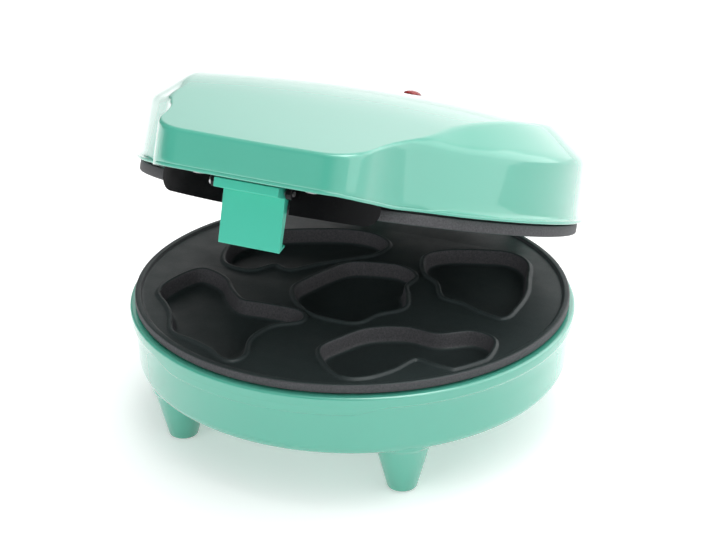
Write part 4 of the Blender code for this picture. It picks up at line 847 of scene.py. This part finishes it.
def make_shell():
    front = [HANDLE_SECTOR * (2 * index / HANDLE_STEPS - 1) for index in range(HANDLE_STEPS)]
    rear_sector = 360 - 2 * HANDLE_SECTOR
    rear = [HANDLE_SECTOR + rear_sector * index / REAR_STEPS for index in range(REAR_STEPS)]
    angles = [math.radians(a if a <= 180 else a - 360) for a in front + rear]
    sections = [shell_profile(a) for a in angles]
    rings = [[(0, 0, crown(0, 0) - ROOF_DROP)]]
    for level in range(len(sections[0])):
        rings.append([polar(a, *section[level]) for a, section in zip(angles, sections)])
    rings.append([(0, 0, crown(0, 0))])
    shell = lid_piece("lid_shell_look", loft_mesh(rings), angle=48)
    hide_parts("lid_shell")
    eye = arc((HINGE_Y, HINGE_RISE), LUG_EYE_R, *ARM_EYE_TURN, EYE_STEPS)
    outline = [(None, ARM_TOP), (None, ARM_FOOT)] + eye
    inner = LUG_X + LUG_WIDTH / 2 + ARM_GAP
    for side, low in (("left", -inner - LUG_WIDTH), ("right", inner)):
        arm = lid_piece("lid_arm_" + side, rooted_slab(outline, low, low + LUG_WIDTH, ARM_ROOT_R))
        soften(arm, LUG_SOFT, segments=4, angle=40)
    for side, x in (("left", -POST_X), ("right", POST_X)):
        top = crown(x, POST_Y) - POST_SINK
        profile = [(0, POST_FOOT), (POST_END_R, POST_FOOT), (POST_R, POST_FOOT + POST_CHAMFER)]
        profile += [(POST_R, top), (0, top)]
        lid_piece("lid_post_" + side, turned(profile, steps=48, x=x, y=POST_Y))


def make_housing():
    bead = RIM_Z - RIM_ROUND
    inside = shifted(INNER_FOOT_CURVE, INNER_R, FLOOR_Z)
    wall = [(FLOOR_EDGE_R, FLOOR_Z + FLOOR_THICK), inside[0]] + curve_through(*inside)
    wall += [(INNER_R, INNER_TOP), (MOUTH_R, MOUTH_FOOT), (MOUTH_R, bead)]
    wall += arc((MOUTH_R + RIM_ROUND, bead), RIM_ROUND, 180, 90, steps=6)
    wall += arc((HOUSING_R - RIM_ROUND, bead), RIM_ROUND, 90, 0, steps=10)
    under, fillet = shifted(BEAD_CURVE, HOUSING_R, RIM_Z), shifted(BEAD_FILLET_CURVE, HOUSING_R, RIM_Z)
    wall += shifted(BEAD_SIDE, HOUSING_R, RIM_Z) + under[:1]
    wall += curve_through(*under, steps=5) + curve_through(*fillet, steps=5)
    wall += shifted(WALL_SIDE, HOUSING_R, RIM_Z)
    wall += arc((WALL_FOOT_R - FLOOR_ROUND, FLOOR_Z + FLOOR_ROUND), FLOOR_ROUND, 0, -90, steps=16)
    wall += [(FLOOR_EDGE_R, FLOOR_Z)]
    housing = base_piece("base_housing_look", turned(wall, TURN_STEPS, joined=True), angle=40)
    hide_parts("base_housing")
    bore = turned([(0, INLET_START), (INLET_R, INLET_START), (INLET_R, INLET_END), (0, INLET_END)], steps=48)
    bmesh.ops.rotate(bore, verts=bore.verts, matrix=Matrix.Rotation(math.radians(-90), 3, "X"))
    cut(housing, raised(bore, FLOOR_Z + INLET_RISE), BASE)
    make_base_floor()
    make_legs()
    make_lugs()
    make_catch()


def make_base_floor():
    holes = [circle(FLOOR_EDGE_R + FLOOR_OVERLAP, TURN_STEPS)]
    for index in range(VENT_COUNT):
        x = (index - (VENT_COUNT - 1) / 2) * VENT_PITCH
        far_end = arc((x, VENT_HALF), VENT_R, 0, 180, steps=10)
        near_end = arc((x, -VENT_HALF), VENT_R, 180, 360, steps=10)
        holes.append(far_end + near_end)
    for spot in SCREW_SPOTS.values():
        holes.append(circle(HEAD_HOLE_R, steps=36, centre=spot))
    base_piece("base_floor", raised(filled(holes, FLOOR_THICK), FLOOR_Z + FLOOR_THICK / 2))


def make_legs():
    turn = math.radians(LEG_ANGLE)
    top, neck = shifted(LEG_TOP_SIDE, 0, FLOOR_Z), shifted(LEG_NECK_CURVE, 0, FLOOR_Z)
    profile = [(0, top[0][1])] + top + neck[:1] + curve_through(*neck, steps=5)
    profile += LEG_SIDE + LEG_FOOT_CURVE[:1] + curve_through(*LEG_FOOT_CURVE) + [(0, LEG_FOOT_CURVE[-1][1])]
    for front in (-1, 1):
        for side in (-1, 1):
            x, y = side * LEG_RING * math.sin(turn), front * LEG_RING * math.cos(turn)
            name = "base_leg_" + ("front_" if front < 0 else "rear_") + ("left" if side < 0 else "right")
            base_piece(name, turned(profile, steps=72, x=x, y=y), angle=50)


def make_lugs():
    eye = arc((HINGE_Y, HINGE_Z), LUG_EYE_R, *LUG_EYE_TURN, EYE_STEPS)
    outline = [(LUG_FRONT_Y, LUG_FRONT_Z), (None, LUG_ROOT_TOP), (None, HINGE_Z - LUG_DROP)] + eye
    for side, x in (("left", -LUG_X), ("right", LUG_X)):
        low, high = x - LUG_WIDTH / 2, x + LUG_WIDTH / 2
        lug = base_piece("base_lug_" + side, rooted_slab(outline, low, high, LUG_ROOT_R))
        soften(lug, LUG_SOFT, segments=4, angle=40)


def make_catch():
    sections = []
    for index in range(CATCH_STEPS + 1):
        azimuth = CATCH_END * (2 * index / CATCH_STEPS - 1)
        fade = ease(abs(azimuth), CATCH_START, CATCH_END)
        foot = RIM_Z - CATCH_DROP + CATCH_LIFT * fade
        corner = CATCH_ROUND * (1 - fade) + CATCH_ROUND_END
        section = [(CATCH_INNER_R, RIM_Z - CATCH_TOP), (CATCH_R, RIM_Z - CATCH_TOP), (CATCH_R, foot + corner)]
        section += curve_through((CATCH_R, foot + corner), (CATCH_R, foot), (CATCH_R - corner, foot), steps=5)
        section += [(CATCH_INNER_R, foot)]
        sections.append([polar(math.radians(azimuth), radius, height) for radius, height in section])
    base_piece("base_catch_lip", loft_mesh(sections), angle=40)


def make_plate(name, place, face, away, edge, look, body):
    """A plate whose face lies at a height, with its moulds and skirt going away from it."""
    def at(depth):
        return face + away * depth

    foot, top = shifted(RING_FOOT_CURVE, PLATE_R, 0), shifted(RING_TOP_CURVE, PLATE_R, 0)
    rim = [(PLATE_R - DECK_SETBACK, DECK_DROP), (PLATE_R - RING_FOOT_SETBACK, DECK_DROP)]
    rim += curve_through(*foot, steps=5) + curve_through(*top) + shifted(RING_TOP_SIDE, PLATE_R, 0)
    edge_round = [(PLATE_ROUND * math.sin(turn), -PLATE_ROUND * math.cos(turn)) for turn in EDGE_TURNS]
    rim += shifted(edge_round, PLATE_R - PLATE_ROUND, PLATE_ROUND)
    skirt = PLATE_R - SKIRT_SETBACK
    inner = skirt - SKIRT_WALL
    rim += [(PLATE_R, EDGE_ROUND_END), (PLATE_R, edge - EDGE_CHAMFER), (PLATE_R - EDGE_CHAMFER_WIDTH, edge)]
    rim += [(skirt, edge), (skirt, SKIRT_DEPTH), (inner, SKIRT_DEPTH), (inner, edge + EDGE_CHAMFER)]
    rim += [(inner - EDGE_CHAMFER, edge)]
    ring = turned([(radius, at(depth)) for radius, depth in rim], TURN_STEPS)
    steps = [(MOULD_LIP, DECK_DROP)] + MOULD_WALL + [(-MOULD_FLOOR_INSET, MOULD_DEPTH)]
    outlines = []
    strips = []
    for x, y, shares in MOULDS.values():
        loop = smooth_loop([(x + a * MOULD_REACH, y + b * MOULD_REACH) for a, b in shares])
        loop = [point * min(1, MOULD_LIMIT / point.length) for point in loop]
        rings = [[(p.x, p.y, at(depth)) for p in grown(loop, out)] for out, depth in steps]
        strips.append(loft_mesh(rings, (False, True)))
        outlines.append(grown(loop, MOULD_LIP))
    deck = raised(filled([circle(PLATE_R - DECK_SETBACK, TURN_STEPS)] + outlines), at(DECK_DROP))
    back = raised(filled([circle(PLATE_R - BACK_SETBACK, TURN_STEPS)] + outlines), at(edge))
    plate = merged(ring, deck, back, *strips)
    obj = finish_mesh(name + "_look", plate, place, look, body, 50)
    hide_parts(name)


def make_liner():
    low, high = COLLAR_INNER_R + COLLAR_CHAMFER, COLLAR_R - COLLAR_CHAMFER
    chamfer = COLLAR_FOOT + COLLAR_CHAMFER
    collar = [(COLLAR_INNER_R, chamfer), (low, COLLAR_FOOT), (high, COLLAR_FOOT), (COLLAR_R, chamfer)]
    collar += [(COLLAR_R, COLLAR_TOP), (COLLAR_INNER_R, COLLAR_TOP)]
    whole = liner_piece("lid_liner_look", turned(collar, joined=True))
    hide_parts("lid_liner")
    inset = WALL + LINER_GAP
    edge, sector = math.atan2(BAY_HALF, HANDLE_REACH - inset), math.radians(LINER_SECTOR)
    right = []
    for index in range(LINER_STEPS + 1):
        angle = edge + (sector - edge) * index / LINER_STEPS
        right.append(polar(angle, outline_radius(angle, inset), 0)[:2])
    turns = [math.radians(LINER_SECTOR * (1 - 2 * index / COLLAR_STEPS)) for index in range(COLLAR_STEPS + 1)]
    inner = [polar(angle, COLLAR_JOIN_R, 0)[:2] for angle in turns]
    left = [(-x, y) for x, y in reversed(right)]
    outline = [(BAY_HALF, BAY_BACK)] + right + inner + left + [(-BAY_HALF, BAY_BACK)]
    holes = [circle(POST_HOLE_R, steps=18, centre=(x, POST_Y)) for x in (-POST_X, POST_X)]
    liner_piece("liner_floor", raised(filled([outline] + holes, LINER_FLOOR), LINER_FLOOR_Z))
    make_apron()
    ear = arc((PIN_Y, PIN_Z), EAR_R, -180, 0, steps=16)
    ear += [(PIN_Y + EAR_R, LINER_FLOOR_Z), (PIN_Y - EAR_R, LINER_FLOOR_Z)]
    for side, low in (("left", -EAR_X - EAR_WIDTH), ("right", EAR_X)):
        soften(liner_piece("liner_ear_" + side, slab(ear, low, low + EAR_WIDTH)), EAR_SOFT)
    tab = [(COLLAR_JOIN_R, -TAB_R)] + arc((SCREW_RING, 0), TAB_R, 90, 270, TAB_STEPS)
    tab += [(COLLAR_JOIN_R, TAB_R)]
    for side, (x, y) in SCREW_SPOTS.items():
        turn = math.atan2(y, x)
        cos, sin = math.cos(turn), math.sin(turn)
        turned_tab = [(a * cos - b * sin, a * sin + b * cos) for a, b in tab]
        liner_piece("liner_lug_" + side, raised(filled([turned_tab], TAB_THICK), TAB_Z))


def make_apron():
    """The liner's lip below the handle, either side of the latch, with its outer corners rounded off."""
    start, end = math.asin(BAY_HALF / APRON_R), math.asin(APRON_HALF / APRON_R)
    inner = APRON_R - APRON_WALL
    for side, sign in (("left", -1), ("right", 1)):
        sections = []
        for index in range(LINER_STEPS + 1):
            angle = start + (end - start) * math.sin(math.pi / 2 * index / LINER_STEPS)
            past = APRON_R * math.sin(angle) - (APRON_HALF - APRON_CORNER)
            past = min(max(past, 0), APRON_CORNER_LIMIT)
            foot = APRON_CORNER - math.sqrt(APRON_CORNER ** 2 - past ** 2) - APRON_DROP
            neck = min(APRON_R - APRON_NECK_SETBACK, outline_radius(angle, WALL + LINER_GAP))
            section = [(inner, foot), (APRON_R, foot), (APRON_R, APRON_TOP), (neck, APRON_TOP)]
            section += [(neck, LINER_FLOOR_Z), (inner, LINER_FLOOR_Z)]
            sections.append([polar(sign * angle, radius, height) for radius, height in section])
        soften(liner_piece("liner_apron_" + side, loft_mesh(sections)), APRON_SOFT, angle=50)


def make_latch():
    ledge = [(LEDGE_FRONT, LEDGE_TOP), (LEDGE_FRONT, LEDGE_BOTTOM)]
    ledge += arc((PIN_Y, PIN_Z), LATCH_EYE_R, -90, 90, steps=16)
    bar = latch_piece("latch_look", slab(ledge, -LATCH_BAR_HALF, LATCH_BAR_HALF))
    soften(bar, LATCH_SOFT, segments=4, angle=50)
    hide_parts("latch")
    plate = latch_piece("latch_plate", slab(LATCH_PLATE, -LATCH_PLATE_HALF, LATCH_PLATE_HALF))
    soften(plate, LATCH_SOFT, segments=4, angle=30)


def make_lens():
    roof = crown(0, LENS_Y)
    seat = roof + LENS_SEAT
    profile = [(0, seat + LENS_RISE)]
    for index in range(1, LENS_STEPS + 1):
        turn = math.pi / 2 * index / LENS_STEPS
        ripple = RIPPLE * math.cos(turn * RIPPLE_COUNT) - RIPPLE
        profile.append(((LENS_R + ripple) * math.sin(turn), seat + (LENS_RISE + ripple) * math.cos(turn)))
    profile += [(LENS_EDGE_R, seat - LENS_EDGE_DROP), (LENS_STEM_R, seat - LENS_EDGE_DROP)]
    profile += [(LENS_STEM_R, seat - LENS_STEM_DROP), (0, seat - LENS_STEM_DROP)]
    lens = lid_piece("lamp_lens_look", turned(profile, steps=96, y=LENS_Y), "red_lens", angle=60)
    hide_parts("lamp_lens")
    bezel = [(BEZEL_INNER_R, -BEZEL_SINK), (BEZEL_R, -BEZEL_SINK), BEZEL_EDGE, BEZEL_TOP]
    bezel += [(BEZEL_INNER_R, BEZEL_TOP[1])]
    liner_piece("lamp_bezel", turned(shifted(bezel, 0, roof), steps=96, joined=True, y=LENS_Y))


def dress_frame():
    """Node materials on the frame's own pieces, by the slot that the record gives each."""
    slots = {item["node"]: item["material_slot"] for item in frame["record"]["subparts"]}
    for name, obj in frame["nodes"].items():
        key = slots[name]
        if key == "non_stick_coating":
            key = "lower_coating" if name.startswith("lower") else "upper_coating"
        obj.data.materials.clear()
        obj.data.materials.append(LOOKS[key])


# Stage, light and camera

def make_floor():
    """Pale paper that glows only for the camera, in reflections and through glass."""
    mesh = bpy.data.meshes.new("studio_floor")
    bm = bmesh.new()
    bmesh.ops.create_grid(bm, x_segments=2, y_segments=2, size=FLOOR_HALF)
    bm.to_mesh(mesh)
    bm.free()
    look = Look("studio_paper", (0.96, 0.96, 0.96), 0.95, specular_ior_level=0.0)
    cloud = look.spread(look.noise(3, detail=2), 0, 1)
    look.colour(look.mix(cloud, (0.965, 0.965, 0.965), (0.955, 0.955, 0.955)))
    mesh.materials.append(look.material)
    ray = look.add("ShaderNodeLightPath")
    total = ray.outputs["Is Camera Ray"]
    for seen in ("Is Glossy Ray", "Is Transmission Ray"):
        both = look.add("ShaderNodeMath", operation="MAXIMUM")
        look.link(total, both.inputs[0])
        look.link(ray.outputs[seen], both.inputs[1])
        total = both.outputs[0]
    glow = look.add("ShaderNodeMath", operation="MULTIPLY")
    look.link(total, glow.inputs[0])
    glow.inputs[1].default_value = FLOOR_GLOW
    look.set("Emission Color", (1, 1, 1, 1))
    look.link(glow.outputs[0], look.shader.inputs["Emission Strength"])
    floor = bpy.data.objects.new("studio_floor", mesh)
    bpy.context.scene.collection.objects.link(floor)


def make_world():
    """White surroundings whose light changes towards a few directions, by the product of their shares."""
    world = bpy.data.worlds.new("studio")
    bpy.context.scene.world = world
    world.use_nodes = True
    tree = world.node_tree
    back = tree.nodes["Background"]
    coords = tree.nodes.new("ShaderNodeTexCoord")
    shares = []
    for axis, start, end, share in LIGHT_ZONES:
        dot = tree.nodes.new("ShaderNodeVectorMath")
        dot.operation = "DOT_PRODUCT"
        dot.inputs[1].default_value = axis
        tree.links.new(coords.outputs["Generated"], dot.inputs[0])
        shade = tree.nodes.new("ShaderNodeMapRange")
        shade.interpolation_type = "SMOOTHSTEP"
        limits = (("From Min", start), ("From Max", end), ("To Min", ZONE_REST), ("To Max", share))
        for socket, value in limits:
            shade.inputs[socket].default_value = value
        tree.links.new(dot.outputs["Value"], shade.inputs["Value"])
        shares.append(shade.outputs["Result"])
    total = shares[0]
    for share in shares[1:]:
        both = tree.nodes.new("ShaderNodeMath")
        both.operation = "MULTIPLY"
        tree.links.new(total, both.inputs[0])
        tree.links.new(share, both.inputs[1])
        total = both.outputs[0]
    tree.links.new(total, back.inputs["Strength"])
    back.inputs["Color"].default_value = (1, 1, 1, 1)


def softbox(name, place, target, size, radiance, glossy=True, diffuse=True):
    """Rectangular light of a given radiance, seen by the shading rays that it is meant for."""
    data = bpy.data.lights.new(name, "AREA")
    data.shape = "RECTANGLE"
    data.size, data.size_y = size
    data.energy = radiance * math.pi * size[0] * size[1]
    light = bpy.data.objects.new(name, data)
    light.location = place
    light.rotation_euler = (Vector(target) - Vector(place)).to_track_quat("-Z", "Y").to_euler()
    light.visible_glossy = glossy
    light.visible_diffuse = diffuse
    bpy.context.scene.collection.objects.link(light)


def make_camera():
    turn, rise = math.radians(CAMERA_TURN), math.radians(CAMERA_RISE)
    right = Vector((math.cos(turn), math.sin(turn), 0))
    view = Vector((-math.sin(turn) * math.cos(rise), math.cos(turn) * math.cos(rise), -math.sin(rise)))
    up = right.cross(view)
    data = bpy.data.cameras.new("camera")
    data.sensor_width = SENSOR_WIDTH
    data.lens = FOCAL_PIXELS / PHOTO_WIDTH * SENSOR_WIDTH
    data.clip_start, data.clip_end = CLIP_START, CLIP_END
    camera = bpy.data.objects.new("camera", data)
    pose = Matrix((right, up, -view)).transposed().to_4x4()
    pose.translation = Vector(CAMERA_AT)
    camera.matrix_world = pose
    bpy.context.scene.collection.objects.link(camera)
    bpy.context.scene.camera = camera


LOOKS = make_looks()
dress_frame()
make_shell()
make_housing()
make_plate("lower_plate", LOWER, 0, -1, LOWER_EDGE, LOOKS["lower_coating"], "base")
make_plate("upper_plate", LID, PLATES_APART, 1, UPPER_EDGE, LOOKS["upper_coating"], "lid")
make_liner()
make_latch()
make_lens()
make_floor()
make_world()
softbox("top", (0.0, 0.1, 1.5), AIM, size=(0.8, 0.8), radiance=3.6, glossy=False)
softbox("front_fill", (-0.5, -1.35, 0.45), AIM, size=(0.9, 0.6), radiance=4.0, glossy=False)
softbox("right_card", (1.5, 0.35, 0.75), CARD_AIM, size=(3.4, 1.5), radiance=1.3, diffuse=False)
softbox("top_card", (0.6, -0.25, 1.5), AIM, size=(0.8, 1.2), radiance=5.0, diffuse=False)
make_camera()

bpy.context.scene.view_settings.view_transform = "Standard"
